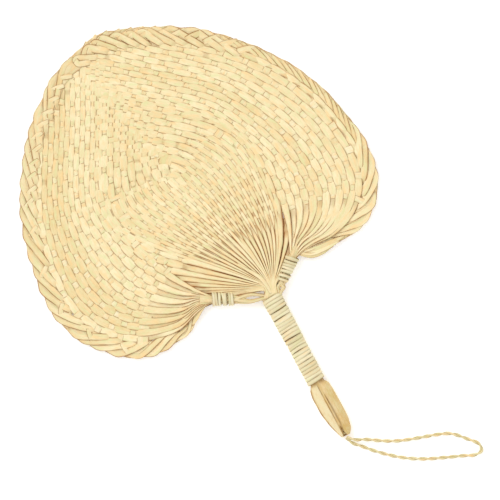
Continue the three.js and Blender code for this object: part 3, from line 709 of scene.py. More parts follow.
class Weave:
    """All strips of the blade in plain weave: along each strip on the face they go over and under in turn."""

    parallel = 1e-12
    most_room = 1.9
    lone_pitch = 4.0

    def __init__(self, plan: BladePlan) -> None:
        """Lays out the strips, finds their crossings and settles which strip is on top at each."""
        self.plan = plan
        self.strips = [*self._wefts(), *self._half(Side.LEFT), *self._half(Side.RIGHT)]
        y = np.linspace(0, plan.length, 200)
        self.midline = plan.lean(np.column_stack([0 * y, y]))
        self.found: list[Crossing] = []
        for i, j in combinations(range(len(self.strips)), 2):
            self._meet(i, j)
        self._settle()

    def midline_x(self, y: Values) -> Array:
        """Where the midline of the made blade stands at heights y."""
        return np.interp(y, self.midline[:, 1], self.midline[:, 0])

    def _wefts(self) -> Iterator[Strip]:
        """The wefts, each with the short ones above it."""
        plan = self.plan
        for n in range(1, plan.wefts + 1):
            name = f"weft_{n:02d}"
            yield Strip(name, Role.WEFT, None, Track(plan.weft(n)))
            for side in Side if n in plan.short_rows else ():
                for rank in (0, 1):
                    yield Strip(name, Role.SHORT, None, Track(plan.short_weft(side, n, rank)))

    def _half(self, side: Side) -> Iterator[Strip]:
        """The folds, ribs and side ribs that start in a half, and the columns that come back down it."""
        plan, last = self.plan, self.plan.fingers
        for n in plan.half_ribs:
            name = self._finger(side, n)
            yield Strip(name, Role.HALF, side, Track(plan.way_out(side, n, Role.HALF)))
            yield Strip(name, Role.OVER, None, Track(plan.way_over(side, n)))
        for n in plan.whole_ribs:
            way = Track(plan.way_out(side, n, Role.OUT))
            wide = plan.border_wide if n == last else 1.0
            yield Strip(self._finger(side, n), Role.OUT, side, way, wide, plan.beside(side, n))
        for n in range(last + 1, last + plan.side_ribs[side] + 1):
            way = Track(plan.way_aside(side, n))
            yield Strip(self._finger(side, last), Role.SIDE, side, way, 1.0, plan.beside(side, n))
        for column in range(1, plan.returns + 1):
            name = self._finger(side.far, column * last / plan.returns)
            wide = plan.border_wide if column == plan.returns else 1.0
            yield Strip(name, Role.BACK, side, Track(plan.way_back(side, column)), wide)

    @staticmethod
    def _finger(side: Side, number: float) -> str:
        """Name of the node of the finger whose rib has this number or the next whole one."""
        return f"finger_{side.value}_{math.ceil(number):02d}"

    def _meet(self, i: int, j: int) -> None:
        """Adds the crossings of strips i and j: where a step of one and a step of the other share a point.

        The point lies at shares t and u of the two steps. Strips don't cross at the neck, and side ribs pass
        beneath the columns.
        """
        a, b = self.strips[i].track, self.strips[j].track
        beneath = {self.strips[i].role, self.strips[j].role} == {Role.SIDE, Role.BACK}
        if beneath or (a.points.max(0) < b.points.min(0)).any() or (b.points.max(0) < a.points.min(0)).any():
            return
        d, e = a.steps[:, None, :], b.steps[None, :, :]
        r = b.points[None, :-1, :] - a.points[:-1, None, :]
        cross = flat_cross(d, e)
        safe = np.where(np.abs(cross) < self.parallel, np.inf, cross)
        t, u = flat_cross(r, e) / safe, flat_cross(r, d) / safe
        met = (t >= 0) & (t < 1) & (u >= 0) & (u < 1) & np.isfinite(safe)
        for m, n in zip(*np.nonzero(met)):
            x, y = a.points[m]
            if math.hypot(x, y) < self.plan.slope_near:
                continue
            la, lb = np.linalg.norm(a.steps[m]), np.linalg.norm(b.steps[n])
            along = (a.reach[m] + t[m, n] * la, b.reach[n] + u[m, n] * lb)
            here = Side.RIGHT if x > self.midline_x(y) else Side.LEFT
            first, second = (self._rank(self.strips[k], here) for k in (i, j))
            sine = abs(float(cross[m, n]) / (la * lb))
            self.found.append(Crossing((i, j), along, sine, int(second > first)))

    @staticmethod
    def _rank(strip: Strip, here: Side) -> int:
        """How far a strip is to the front in a half: wefts, then strips of the other half, ribs, returns."""
        if strip.side is None:
            return 1 if strip.role is Role.OVER else 0
        return 1 if strip.side is not here else 3 if strip.role is Role.BACK else 2

    def _settle(self) -> None:
        """Gives each strip its crossings in order, with its level, its place on the face and its room.

        The room is the pitch of the neighbours of the strip that is crossed, times the sine between the two.
        """
        order: list[Row] = [[] for _ in self.strips]
        for k, c in enumerate(self.found):
            for rank in (0, 1):
                order[c.strips[rank]].append((c.along[rank], k, rank))
        for row in order:
            row.sort()
        over = self._over(order)
        lines = [np.array([s for s, _, _ in row]) for row in order]
        place = {(k, rank): n for row in order for n, (_, k, rank) in enumerate(row)}
        for strip, row in zip(self.strips, order):
            for s, k, rank in row:
                c = self.found[k]
                faces = c.front == rank
                n, line = place[k, 1 - rank], lines[c.strips[1 - rank]]
                rooms = np.diff(line[max(n - 1, 0) : n + 2])
                room = min(self.most_room * rooms.mean(), rooms.max()) if faces else rooms.mean()
                strip.meet(s, int(over[k]) if faces else -int(over[k]), faces, float(room) * c.sine)
            while len(strip.along) < 2:
                along = strip.track.length * (0.9 + 0.1 * len(strip.along))
                strip.meet(along, -1, True, self.lone_pitch)

    def _over(self, order: list[Row]) -> Array:
        """Whether the strip in front goes over, as 1, or under, as -1, at each crossing.

        A rib on the face has two runs of crossings, one with wefts and one with strips of the other half, and
        a column has one. Along each run they alternate, and the sign at which a run starts is chosen in turn
        so that most crossings also alternate along the strips behind.

        Args:
            order: the crossings of each strip in order, with their length, number and the strip's rank.

        Returns:
            A sign for each crossing.
        """
        wefts = (Role.WEFT, Role.SHORT)
        roles = [tuple(self.strips[c.strips[n]].role for n in (c.front, 1 - c.front)) for c in self.found]
        run = np.array([face is not Role.BACK and other in wefts for face, other in roles], int)
        base = np.zeros(len(self.found))
        for row in order:
            for kind in (0, 1):
                mine = [k for _, k, rank in row if self.found[k].front == rank and run[k] == kind]
                base[mine] = (-1.0) ** np.arange(len(mine))
        owner = np.array([c.strips[c.front] for c in self.found]) * 2 + run
        behind = [[k for _, k, rank in row if self.found[k].front != rank] for row in order]
        pairs = [pair for row in behind for pair in zip(row, row[1:])]
        runs = 2 * len(self.strips)
        bond = np.zeros((runs, runs))
        for a, b in pairs:
            bond[owner[a], owner[b]] -= base[a] * base[b]
            bond[owner[b], owner[a]] -= base[a] * base[b]
        phase = np.zeros(runs)
        todo = set(owner.tolist())
        while todo:
            pull = bond @ phase
            best = max(sorted(todo), key=lambda i: abs(pull[i]))
            phase[best] = 1.0 if pull[best] >= 0 else -1.0
            todo.remove(best)
        return phase[owner] * base


def added(name: str, data: bpy.types.ID) -> bpy.types.Object:
    """A new object of the scene that holds this mesh, camera or light."""
    made = bpy.data.objects.new(name, data)
    bpy.context.scene.collection.objects.link(made)
    return made


class MeshMaker:
    """Collects lofted surfaces with their values for the finishes, and makes one mesh of them."""

    def __init__(self) -> None:
        """Starts empty."""
        self.points: list[Array] = []
        self.fibre: list[Array] = []
        self.shade: list[Array] = []
        self.tone: list[Array] = []
        self.quads: list[Array] = []
        self.caps: list[list[int]] = []
        self.count = 0

    def loft(self, rings: Array, fibre: Array, shade: Values, tone: Values) -> None:
        """Adds a surface of N closed rings of M points, with quads between neighbours and a cap at both ends.

        Args:
            rings: points of the rings, N by M by 3, in millimetres of the plan.
            fibre: N by M by 3, the place along and across the fibres, in millimetres.
            shade: how far each point is darkened towards brown, from 0 to 1, mostly as painted shade.
            tone: how warm each point is, from -1 to 1.
        """
        n, m = rings.shape[:2]
        index = self.count + np.arange(n * m).reshape(n, m)
        right = np.roll(index, -1, axis=1)
        quads = np.stack([index[:-1], right[:-1], right[1:], index[1:]], axis=-1)
        self.quads.append(quads.reshape(-1, 4))
        self.caps += [index[0, ::-1].tolist(), index[-1].tolist()]
        self.points.append(rings.reshape(-1, 3))
        self.fibre.append(np.broadcast_to(fibre, rings.shape).reshape(-1, 3))
        self.shade.append(np.broadcast_to(shade, (n, m)).reshape(-1))
        self.tone.append(np.broadcast_to(tone, (n, m)).reshape(-1))
        self.count += n * m

    def build(self, name: str, finish: bpy.types.Material) -> bpy.types.Object:
        """Makes a smooth object of this name in the frame, with the attributes fibre, shade and tone."""
        mesh = bpy.data.meshes.new(name)
        faces = np.vstack(self.quads).tolist() + self.caps
        mesh.from_pydata(PLACE(np.vstack(self.points)), [], faces)
        mesh.update()
        for label, kind, key, rows in (
            ("fibre", "FLOAT_VECTOR", "vector", self.fibre),
            ("shade", "FLOAT", "value", self.shade),
            ("tone", "FLOAT", "value", self.tone),
        ):
            values = np.concatenate(rows).astype(np.float32)
            mesh.attributes.new(label, kind, "POINT").data.foreach_set(key, values.ravel())
        mesh.polygons.foreach_set("use_smooth", np.ones(len(faces), bool))
        mesh.materials.append(finish)
        return added(name, mesh)


TOP = np.array([1.0, 0.9, 0.76, 0.45, 0.13, 0.0, -0.13, -0.45, -0.76, -0.9, -1.0])
UNDERSIDE = np.array([-0.92, 0.0, 0.92])
SECTION = np.concatenate([TOP, UNDERSIDE])
# Shares of a strip's section that take painted shade: a thin line at the edges, and a wider band.
EDGE = smoothstep(np.abs(SECTION), 0.76, 1.0)
WIDE_EDGE = smoothstep(np.abs(SECTION), 0.5, 0.95)


def ribbon(
    centre: Array, half_width: Array, crown: Values, thickness: float, tilt: Values = 0.0
) -> Array:
    """Rings of a flat strip carried along a line: a crowned top and a flat underside.

    A top point at share v of the half width stands crown * (1 - v^4) above the edge, and the underside lies
    one thickness below the edge, a little narrower.

    Args:
        centre: N points of the strip's middle.
        half_width: half width at each.
        crown: height of the crown at each.
        thickness: thickness of the strip at its edges.
        tilt: rise of the left edge over the middle, as a share of the half width, at each.

    Returns:
        N rings, anticlockwise seen from the end.
    """
    _, left, _ = directions(centre)
    crown, tilt = (np.broadcast_to(value, len(centre))[:, None] for value in (crown, tilt))
    rise = np.concatenate([1 - TOP**4, np.zeros(len(UNDERSIDE))])
    drop = np.concatenate([np.zeros(len(TOP)), np.full(len(UNDERSIDE), thickness)])
    across = half_width[:, None] * SECTION
    rings = centre[:, None, :] + left[:, None, :] * across[..., None]
    rings[..., 2] += crown * rise - drop + tilt * across
    return rings


def strip_fibre(s: Array, half_width: Array, apart: float) -> Array:
    """Fibre coordinates of a ribbon: the length along it, the place across it, and a number of its own."""
    return joined(s[:, None], half_width[:, None] * SECTION, apart)


def tube(path: Array, across: float, high: float, sides: int, roll: Values = 0.0) -> Array:
    """Rings of an oval tube along a path that runs mostly level.

    A ring point at angle a stands across * cos(a) to the right and high * sin(a) above, turned by roll.

    Args:
        path: N points.
        across: half width.
        high: half height.
        sides: points in a ring.
        roll: turn of the oval about the path, at each point.

    Returns:
        N rings of points.
    """
    _, left, up = directions(path)
    a = np.linspace(0, 2 * np.pi, sides, endpoint=False)[None, :]
    roll = np.broadcast_to(roll, len(path))[:, None]
    x, z = across * np.cos(a), high * np.sin(a)
    side = x * np.cos(roll) - z * np.sin(roll)
    rise = x * np.sin(roll) + z * np.cos(roll)
    return path[:, None, :] - left[:, None, :] * side[..., None] + up[:, None, :] * rise[..., None]


def tube_fibre(rings: Array, s: Array, apart: float) -> Array:
    """Fibre coordinates of a tube: the length along it, its width and height joined across, and a number."""
    out = rings - rings.mean(axis=1, keepdims=True)
    flat = distance(out[..., :2]) * np.sign(out[..., 0] + 1e-9)
    return joined(s[:, None], flat + 0.7 * out[..., 2], apart)


class Term:
    """A value in a shader, on which the usual operators add Math nodes."""

    def __init__(self, shader: "Shader", socket: bpy.types.NodeSocket) -> None:
        """Wraps an output socket of a shader."""
        self.shader = shader
        self.socket = socket

    def _math(self, operation: str, first: Any, second: Any) -> "Term":
        """A Math node of this operation."""
        made = self.shader.node("ShaderNodeMath", {"operation": operation}, {0: first, 1: second})
        return self.shader.term(made, 0)

    def __add__(self, other: Any) -> "Term":
        """Sum."""
        return self._math("ADD", self, other)

    __radd__ = __add__

    def __sub__(self, other: Any) -> "Term":
        """Difference."""
        return self._math("SUBTRACT", self, other)

    def __mul__(self, other: Any) -> "Term":
        """Product."""
        return self._math("MULTIPLY", self, other)

    def clamped(self) -> "Term":
        """The value kept within 0 and 1."""
        made = self.shader.node("ShaderNodeClamp", {}, {"Value": self})
        return self.shader.term(made, 0)


class Shader:
    """A material and its nodes."""

    def __init__(self, name: str) -> None:
        """Makes a node material with a Principled shader."""
        self.material = bpy.data.materials.new(name)
        self.material.use_nodes = True
        self.tree = self.material.node_tree
        self.surface = self.tree.nodes["Principled BSDF"]

    def node(self, kind: str, settings: dict[str, Any], inputs: dict[int | str, Any]) -> bpy.types.Node:
        """Adds a node.

        Args:
            kind: type of the node.
            settings: its properties, which are set first.
            inputs: values or terms for its sockets, by name or number.

        Returns:
            The node.
        """
        made = self.tree.nodes.new(kind)
        for key, value in settings.items():
            setattr(made, key, value)
        for key, value in inputs.items():
            self.feed(made.inputs[key], value)
        return made

    def feed(self, socket: bpy.types.NodeSocket, value: Any) -> None:
        """Links a term to a socket, or sets the socket's own value."""
        if isinstance(value, Term):
            self.tree.links.new(value.socket, socket)
        else:
            socket.default_value = value

    def dress(self, **inputs: Any) -> None:
        """Feeds inputs of the Principled shader, named with underscores for blanks."""
        for key, value in inputs.items():
            self.feed(self.surface.inputs[key.replace("_", " ")], value)

    def term(self, node: bpy.types.Node, output: int | str) -> Term:
        """An output of a node as a value."""
        return Term(self, node.outputs[output])

    def attribute(self, name: str, output: str = "Fac") -> Term:
        """A value of the mesh."""
        return self.term(self.node("ShaderNodeAttribute", {"attribute_name": name}, {}), output)

    def noise(self, along: float, across: float, detail: float, roughness: float = 0.55) -> Term:
        """Noise about 0.5 over the fibre coordinates, scaled per millimetre along and across the fibres."""
        fibre = self.attribute("fibre", "Vector")
        scaled = {0: fibre, 1: (along, across, 1.0)}
        place = self.node("ShaderNodeVectorMath", {"operation": "MULTIPLY"}, scaled)
        inputs = {"Vector": self.term(place, 0), "Scale": 1.0, "Detail": detail, "Roughness": roughness}
        return self.term(self.node("ShaderNodeTexNoise", {}, inputs), 0)

    def mix(self, share: Any, first: Any, second: Any) -> Term:
        """A colour this share of the way from the first to the second."""
        made = self.node("ShaderNodeMix", {"data_type": "RGBA"}, {0: share, 6: first, 7: second})
        return self.term(made, 2)


Colour = tuple[int, int, int]
WHITE = (1.0, 1.0, 1.0, 1.0)


def straight(red: int, green: int, blue: int) -> tuple[float, float, float, float]:
    """A colour of the screen, from 0 to 255, as the linear one that a shader takes."""
    c = np.array([red, green, blue]) / 255
    c = np.where(c <= 0.04045, c / 12.92, ((c + 0.055) / 1.055) ** 2.4)
    return (float(c[0]), float(c[1]), float(c[2]), 1.0)


@dataclass(frozen=True)
class StrawFinish:
    """Dry leaf: pale and warm straw in blotches, streaks and specks, with tints, and brown painted shade
    where the mesh's shade attribute asks for it.
    """

    name: str
    pale: Colour
    warm: Colour
    # The colour that painted shade mixes towards.
    painted_shade: Colour
    green: Colour = (226, 224, 164)
    blush: Colour = (250, 212, 150)
    warmth: float = 0.4
    blotch: float = 1.3
    streak: float = 0.6
    speck: float = 1.1
    tone: float = 0.3
    tint: float = 0.7
    tint_contrast: float = 5.0
    # Offset and contrast of the noise that breaks the painted shade into stronger and weaker patches.
    shade_patches_from: float = 0.37
    shade_patches_contrast: float = 4.5
    bump: float = 0.25
    bump_height: float = 0.0003
    roughness: float = 0.55
    rough_streak: float = 0.3
    specular: float = 0.3

    def build(self) -> bpy.types.Material:
        """Makes the material: warmth, tints and the brown of the painted shade are mixed in turn, and fine
        streaks give the grain.
        """
        s = Shader(self.name)
        blotch = s.noise(0.06, 0.16, 3.0) - 0.5
        streak = s.noise(0.035, 2.6, 4.0, 0.65)
        hair = s.noise(0.08, 7.0, 2.0)
        speck = s.noise(0.4, 0.9, 4.0, 0.7) - 0.5
        tint = s.noise(0.09, 0.3, 2.0) - 0.5
        # Noise that breaks the painted shade into stronger and weaker patches.
        shade_patches = s.noise(0.07, 0.2, 2.0) - self.shade_patches_from
        warmth = blotch * self.blotch + (streak - 0.5) * (2 * self.streak) + speck * self.speck
        warmth = warmth + s.attribute("tone") * self.tone + self.warmth
        straw = s.mix(warmth.clamped(), straight(*self.pale), straight(*self.warm))
        for contrast, colour in ((self.tint_contrast, self.green), (-self.tint_contrast, self.blush)):
            straw = s.mix((tint * contrast).clamped() * self.tint, straw, straight(*colour))
        # Painted shade: the shade attribute, broken into patches, mixes the straw towards its brown.
        shade = s.attribute("shade") * (streak * 0.6 + shade_patches * self.shade_patches_contrast).clamped()
        grain = {"Strength": self.bump, "Distance": self.bump_height, "Height": streak * 0.7 + hair * 0.3}
        s.dress(
            Base_Color=s.mix(shade.clamped(), straw, straight(*self.painted_shade)),
            Roughness=(self.roughness + (streak - 0.5) * self.rough_streak).clamped(),
            Normal=s.term(s.node("ShaderNodeBump", {}, grain), 0),
            Specular_IOR_Level=self.specular,
        )
        return s.material


# Each finish: pale straw, warm straw, and the brown of its painted shade.
BLADE_STRAW = StrawFinish("blade_straw_finish", (248, 233, 190), (227, 200, 140), (152, 86, 0))
WEFT_STRAW = StrawFinish("weft_straw_finish", (248, 235, 197), (228, 205, 150), (152, 86, 0))
BINDING_STRAW = StrawFinish(
    "binding_straw_finish", (240, 230, 194), (214, 200, 156), (138, 96, 46), tone=0.5, tint=0.5
)
STALK_STRAW = StrawFinish(
    "stalk_finish", (234, 217, 174), (206, 166, 88), (128, 74, 14), streak=0.8, tone=0.5, tint=0.25, bump=0.4
)
TWINE = StrawFinish("twine_finish", (236, 222, 178), (204, 182, 122), (128, 98, 50), bump=0.5)


def settle(piece: bpy.types.Object, body: Body, slot: Slot, node: str) -> None:
    """Lets a piece ride on its body, hides the node of the frame that it stands for, and reports it."""
    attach(piece, body.value)
    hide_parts(node)
    LOG.info("%s: %d faces for %s", piece.name, len(piece.data.polygons), node)


@dataclass
class Blade:
    """The woven strips. Pairs of lengths are the places between which something eases in or out."""

    weave: Weave
    seed: int = 7
    step: float = 1.2
    run_passes: int = 6
    rise: float = 0.36
    sharp: float = 0.25
    bias: float = 0.66
    thickness: float = 0.18
    crown: float = 0.14
    rib_crown: float = 0.6
    most_crown: float = 0.3
    fill: float = 1.13
    fill_behind: float = 0.54
    narrow_after: float = 16.0
    width_step: float = 2.0
    width_reach: int = 4
    width_passes: int = 12
    widest: float = 10.0
    border_from: Pair = (70.0, 100.0)
    seam: float = 0.16
    seam_beside: Pair = (6.0, 16.0)
    seam_from: Pair = (100.0, 124.0)
    fold_start: float = 0.3
    fold_opens: float = 24.0
    rib_fill: Pair = (0.84, 1.1)
    rib_fill_between: Pair = (20.0, 75.0)
    rib_least: float = 0.9
    rib_to_weave: float = 24.0
    rib_above_weft: float = 10.0
    column_end: float = 2.2
    column_gather: float = 0.12
    column_bound: float = 13.0
    stray: float = 0.6
    ragged: float = 0.05
    bulge: float = 0.04
    woven_lead: float = 20.0
    under_rim: float = 7.0
    ribbed_between: Pair = (58.0, 108.0)
    tuck: float = 0.7
    tuck_start: float = 25.0
    tuck_end: Pair = (4.0, 16.0)
    tuck_side: Pair = (3.0, 13.0)
    root_rise: float = 3.4
    root_between: Pair = (4.0, 24.0)
    gather_between: Pair = (12.0, 55.0)
    gather_tilt: float = 0.45
    gather_rise: Pair = (0.5, 0.35)

    def build(self) -> None:
        """Makes one piece for each finger and each weft."""
        finishes = {Slot.BLADE: BLADE_STRAW.build(), Slot.WEFT: WEFT_STRAW.build()}
        rng = np.random.default_rng(self.seed)
        for name in dict.fromkeys(strip.name for strip in self.weave.strips):
            maker = MeshMaker()
            for number, strip in enumerate(self.weave.strips):
                if strip.name == name:
                    self._run(maker, strip, float(rng.uniform(-1, 1)), number)
            slot = Slot.WEFT if name.startswith("weft") else Slot.BLADE
            settle(maker.build(f"{name}_leaf", finishes[slot]), Body.FAN, slot, name)

    def _half_width(self, strip: Strip, s: Array) -> Array:
        """Half width of a strip: the room between the neighbours, eased along the strip.

        It grows at the border and beside the seam of the midline, and folds and columns taper.

        Args:
            strip: the strip.
            s: lengths along it.

        Returns:
            One half width per length.
        """
        along, front = np.array(strip.along), np.array(strip.faces)
        front = front | (along < max(along[front], default=-math.inf) + self.narrow_after)
        room = np.minimum(np.where(front, self.fill, self.fill_behind) * strip.pitch, self.widest)
        row = np.arange(0, strip.track.length + self.width_step, self.width_step)
        near = np.pad(np.interp(row, strip.along, room), self.width_reach, mode="edge")
        windows = np.lib.stride_tricks.sliding_window_view(near, 2 * self.width_reach + 1)
        wide = eased(windows.max(axis=1), self.width_passes)
        at = strip.track.at_length(row)
        wide = wide * lerp(1.0, strip.wide, smoothstep(at[:, 1], *self.border_from))
        aside = np.abs(at[:, 0] - self.weave.midline_x(at[:, 1]))
        wide = wide * (1 + self.seam * fade(aside, *self.seam_beside) * smoothstep(at[:, 1], *self.seam_from))
        if strip.role is Role.HALF:
            wide = wide * lerp(self.fold_start, 1.0, smoothstep(row, 0, self.fold_opens))
        if strip.beside is not None:
            rooms = np.max([nearest(at, rib) for rib in strip.beside], axis=0)
            fill = lerp(*self.rib_fill, smoothstep(row, *self.rib_fill_between))
            plain = strip.role is Role.OUT and strip.wide == 1
            start = PLAN.half_start if plain else PLAN.first_weft + self.rib_above_weft
            woven = smoothstep(distance(at), start, start + self.rib_to_weave)
            wide = lerp(np.maximum(fill * rooms, self.rib_least), wide, woven)
        if strip.role is Role.BACK:
            free = np.maximum(strip.track.length - row - self.column_bound, 0)
            wide = np.minimum(wide, self.column_end + self.column_gather * free)
        return np.interp(s, row, wide) / 2

    def _tucked(self, strip: Strip, s: Array) -> Array:
        """How far, from 0 to 1, the ends that stop in the weave are tucked under it at lengths s."""
        left = strip.track.length - s
        if strip.role is Role.SIDE:
            return fade(left, *self.tuck_side)
        tucked = 0 * s
        if strip.role is Role.HALF:
            tucked = fade(s, 0, self.tuck_start)
        if strip.role in (Role.HALF, Role.OVER):
            tucked = tucked + fade(left, *self.tuck_end)
        return tucked

    def _run(self, maker: MeshMaker, strip: Strip, tone: float, number: int) -> None:
        """Adds one strip, whose ends at the rim run on under it.

        It rises and sinks with its lift, strays a little and has ragged edges. Its edges take thin lines of
        painted shade, darker where it dives under another. Ribs are crowned and take wider painted shade at
        the edges, and columns tilt and rise where they are gathered, with wider painted shade at their edges
        there.

        Args:
            maker: collects the mesh.
            strip: the strip.
            tone: warmth of the strip.
            number: number of the strip, which sets its fibres apart.
        """
        length = strip.track.length
        plan, s = self._run_on(strip, np.linspace(0, length, int(length / self.step) + 2))
        astray = s + self.stray * np.sin(s / 17 + 2.1 * number)
        lift = strip.lift(astray, self.sharp, self.bias)
        swing = strip.swing(astray) * strip.woven(s, self.woven_lead)
        ragged = 1 + self.ragged * np.sin(s / 6.1 + 2.4 * number) * np.sin(s / 13.7 + number)
        half = self._half_width(strip, s) * ragged * (1 + self.bulge * swing)
        from_neck = strip.role in (Role.OUT, Role.SIDE)
        up = s + PLAN.half_start * (strip.role is Role.HALF)
        rib = (from_neck or strip.role is Role.HALF) * fade(up, *self.ribbed_between)
        raised, gathered = 0 * s, 0 * s
        if from_neck:
            raised = self.root_rise * fade(distance(plan), *self.root_between)
        if strip.role is Role.BACK:
            gathered = fade(length - s, *self.gather_between)
            raised = gathered * (self.gather_rise[0] + self.gather_rise[1] * (-1) ** number)
        z = PLAN.height(plan) + self.rise * lift - self.tuck * self._tucked(strip, s) + raised
        crown = np.minimum(lerp(self.crown, self.rib_crown, rib), self.most_crown * half)
        tilt = self.gather_tilt * gathered * (strip.side.sign if strip.side else 0.0)
        rings = ribbon(np.column_stack([plan, z]), half, crown, self.thickness, tilt)
        # Painted shade: brown lines at the edges, stronger where the strip turns under, darker dips where it
        # goes under another on the face, and wide bands at the edges of ribs near the neck and of gathered
        # columns.
        under = smoothstep(-lift, 0.0, 0.7)[:, None]
        turning = smoothstep(-swing, -0.2, 0.8)[:, None]
        window = (0.25 + 0.25 * rib * (strip.wide == 1)) * (strip.face(s) + 1) / 2
        shade = (0.75 + 0.25 * turning) * EDGE + window[:, None] * under
        shade = shade + np.maximum(0.9 * rib, gathered)[:, None] * WIDE_EDGE
        maker.loft(rings, strip_fibre(s, half, 40.0 * number), np.clip(shade, 0, 1), tone)

    def _run_on(self, strip: Strip, s: Array) -> tuple[Array, Array]:
        """The way of a strip at lengths s, with the ends at the rim lengthened, and the new lengths."""
        plan = strip.track.at_length(s)
        more = np.arange(1, int(self.under_rim / self.step) + 1) * self.step
        if strip.role in (Role.BACK, Role.WEFT, Role.SHORT):
            plan = np.vstack([plan[0] + more[::-1, None] * unit(plan[0] - plan[3]), plan])
            s = np.concatenate([-more[::-1], s])
        if strip.role in (Role.OUT, Role.OVER, Role.WEFT):
            plan = np.vstack([plan, plan[-1] + more[:, None] * unit(plan[-1] - plan[-4])])
            s = np.concatenate([s, s[-1] + more])
        return eased(plan, self.run_passes), s


@dataclass(frozen=True)
class RimStrip:
    """One strip of the rim.

    Way holds the lengths along the outline between which it runs, and depths the shares of the rim's width
    there. Above is how far it lies over the others, and its number sets its fibres apart.
    """

    way: Pair
    depths: Pair
    half_width: float
    above: float
    number: int
    tone: float

    @property
    def from_weave(self) -> bool:
        """Whether it starts under the weave."""
        return self.depths[0] > 1


@dataclass
class Rim:
    """The border: strips that slant out to the edge, a braid right of the tip, and bars left of it.

    Pairs of pitches, lengths, depths and rises hold for the plain rim and for the braid. A spread is a range
    that sizes or tones are drawn from.
    """

    seed: int = 31
    thickness: float = 0.2
    crown: float = 0.22
    half_width: float = 3.0
    tilt: float = 0.2
    samples: int = 44
    first_share: float = 0.012
    first_start: float = -24.0
    stop_short: dict[Side, float] = per_side(42.0, 13.0)
    pitch: Pair = (15.5, 10.0)
    pitch_spread: Pair = (-0.15, 0.15)
    length: Pair = (46.0, 25.0)
    length_spread: Pair = (0.88, 1.12)
    half_spread: Pair = (0.86, 1.12)
    tone_spread: Pair = (-0.5, 0.9)
    start_depth: Pair = (1.15, 1.3)
    end_depth: Pair = (0.24, 0.46)
    braid: Pair = (0.66, 0.84)
    braid_rise: float = 0.25
    come_out: float = 0.75
    bow: float = 0.1
    bow_from: float = 0.4
    narrow: Pair = (0.26, 0.6)
    brick_pitch: float = 15.0
    brick_lap: float = 1.12
    brick_half: float = 3.1
    brick_depth: float = 0.84
    brick_spread: Pair = (-0.9, 0.9)
    narrow_start: float = 8.0
    narrow_beyond: float = 20.0
    narrow_pitch: float = 0.6
    narrow_length: Pair = (1.1, 1.4)
    narrow_half: Pair = (0.6, 0.75)
    narrow_depths: Pair = (0.66, 0.16)
    narrow_spread: Pair = (0.3, 1.5)
    arm_low: float = 0.6
    arm_length: float = 14.5
    arm_spread: Pair = (0.9, 1.1)
    arm_start: Pair = (0.16, 0.12)
    arm_end: Pair = (0.8, 0.76)
    arm_rise: Pair = (0.3, 0.0)
    bars: Pair = (0.64, 0.97)
    bar_pitch: float = 12.0
    bar_length: float = 8.5
    bar_spread: Pair = (0.85, 1.15)
    bar_depth: Pair = (0.25, 0.45)
    bar_across: float = 0.6
    bar_half: Pair = (1.9, 2.4)
    bar_rise: float = 0.35
    bar_tone: Pair = (-0.9, 0.3)
    stray_from: float = 0.2
    stray_pitch: float = 37.0
    edge_depth: float = 0.52
    edge_half: float = 0.47

    def build(self) -> None:
        """Makes the rim of slanting strips, bricks and a narrow braid, an edge, arms and bars."""
        maker = MeshMaker()
        rng = np.random.default_rng(self.seed)
        for side in Side:
            for strip in self._slanting(side, rng):
                self._strip(maker, side, strip)
            for strip in self._narrow(rng) if side is Side.RIGHT else ():
                self._strip(maker, side, strip)
            self._edge(maker, side)
            for strip in self._arms(rng) if side is Side.RIGHT else self._bars(rng):
                self._strip(maker, side, strip)
        settle(maker.build("rim_plait_strands", BLADE_STRAW.build()), Body.FAN, Slot.BLADE, "rim_plait")

    def _starts(self, side: Side, low: float) -> Iterator[Pair]:
        """Lengths along the outline at which strips start, each with how far the rim is a braid there."""
        length = PLAN.half_outline(side).length
        while low < length - self.stop_short[side]:
            braid = float(smoothstep(low / length, *self.braid)) if side is Side.RIGHT else 0.0
            yield low, braid
            low += lerp(*self.pitch, braid)

    def _slanting(self, side: Side, rng: Rng) -> Iterator[RimStrip]:
        """Strips that come from under the weave and slant out to the edge, outside the narrow part."""
        low, high = np.array(self.narrow) * PLAN.half_outline(side).length * (side is Side.RIGHT)
        for k, (start, braid) in enumerate(self._starts(side, self.first_start)):
            start += float(rng.uniform(*self.pitch_spread)) * lerp(*self.pitch, braid)
            way = (start, start + lerp(*self.length, braid) * rng.uniform(*self.length_spread))
            depths = (lerp(*self.start_depth, braid), lerp(*self.end_depth, braid))
            half = self.half_width * rng.uniform(*self.half_spread)
            if not low < start < high:
                tone = rng.uniform(*self.tone_spread)
                yield RimStrip(way, depths, half, self.braid_rise * braid, k, tone)

    def _narrow(self, rng: Rng) -> Iterator[RimStrip]:
        """A column of bricks, then a narrow braid, along the right edge."""
        low, high = np.array(self.narrow) * PLAN.half_outline(Side.RIGHT).length
        for k, start in enumerate(np.arange(low, high + self.brick_pitch, self.brick_pitch)):
            way = (start, start + self.brick_pitch * self.brick_lap)
            depths = (self.brick_depth, self.brick_depth)
            yield RimStrip(way, depths, self.brick_half, -0.5, k + 150, rng.uniform(*self.brick_spread))
        pitch = self.brick_pitch * self.narrow_pitch
        for k, start in enumerate(np.arange(low + self.narrow_start, high + self.narrow_beyond, pitch)):
            way = (start, start + self.brick_pitch * rng.uniform(*self.narrow_length))
            half = self.half_width * rng.uniform(*self.narrow_half)
            yield RimStrip(way, self.narrow_depths, half, -0.1, k + 200, rng.uniform(*self.narrow_spread))

    def _arms(self, rng: Rng) -> Iterator[RimStrip]:
        """Short arms of the braid right of the tip, which slant in from the edge."""
        low = self.arm_low * PLAN.half_outline(Side.RIGHT).length
        for k, (start, braid) in enumerate(self._starts(Side.RIGHT, low)):
            way = (start, start + self.arm_length * rng.uniform(*self.arm_spread))
            half = self.half_width * rng.uniform(*self.arm_spread)
            depths = (lerp(*self.arm_start, braid), lerp(*self.arm_end, braid))
            tone = rng.uniform(*self.tone_spread)
            yield RimStrip(way, depths, half, lerp(*self.arm_rise, braid), k + 50, tone)

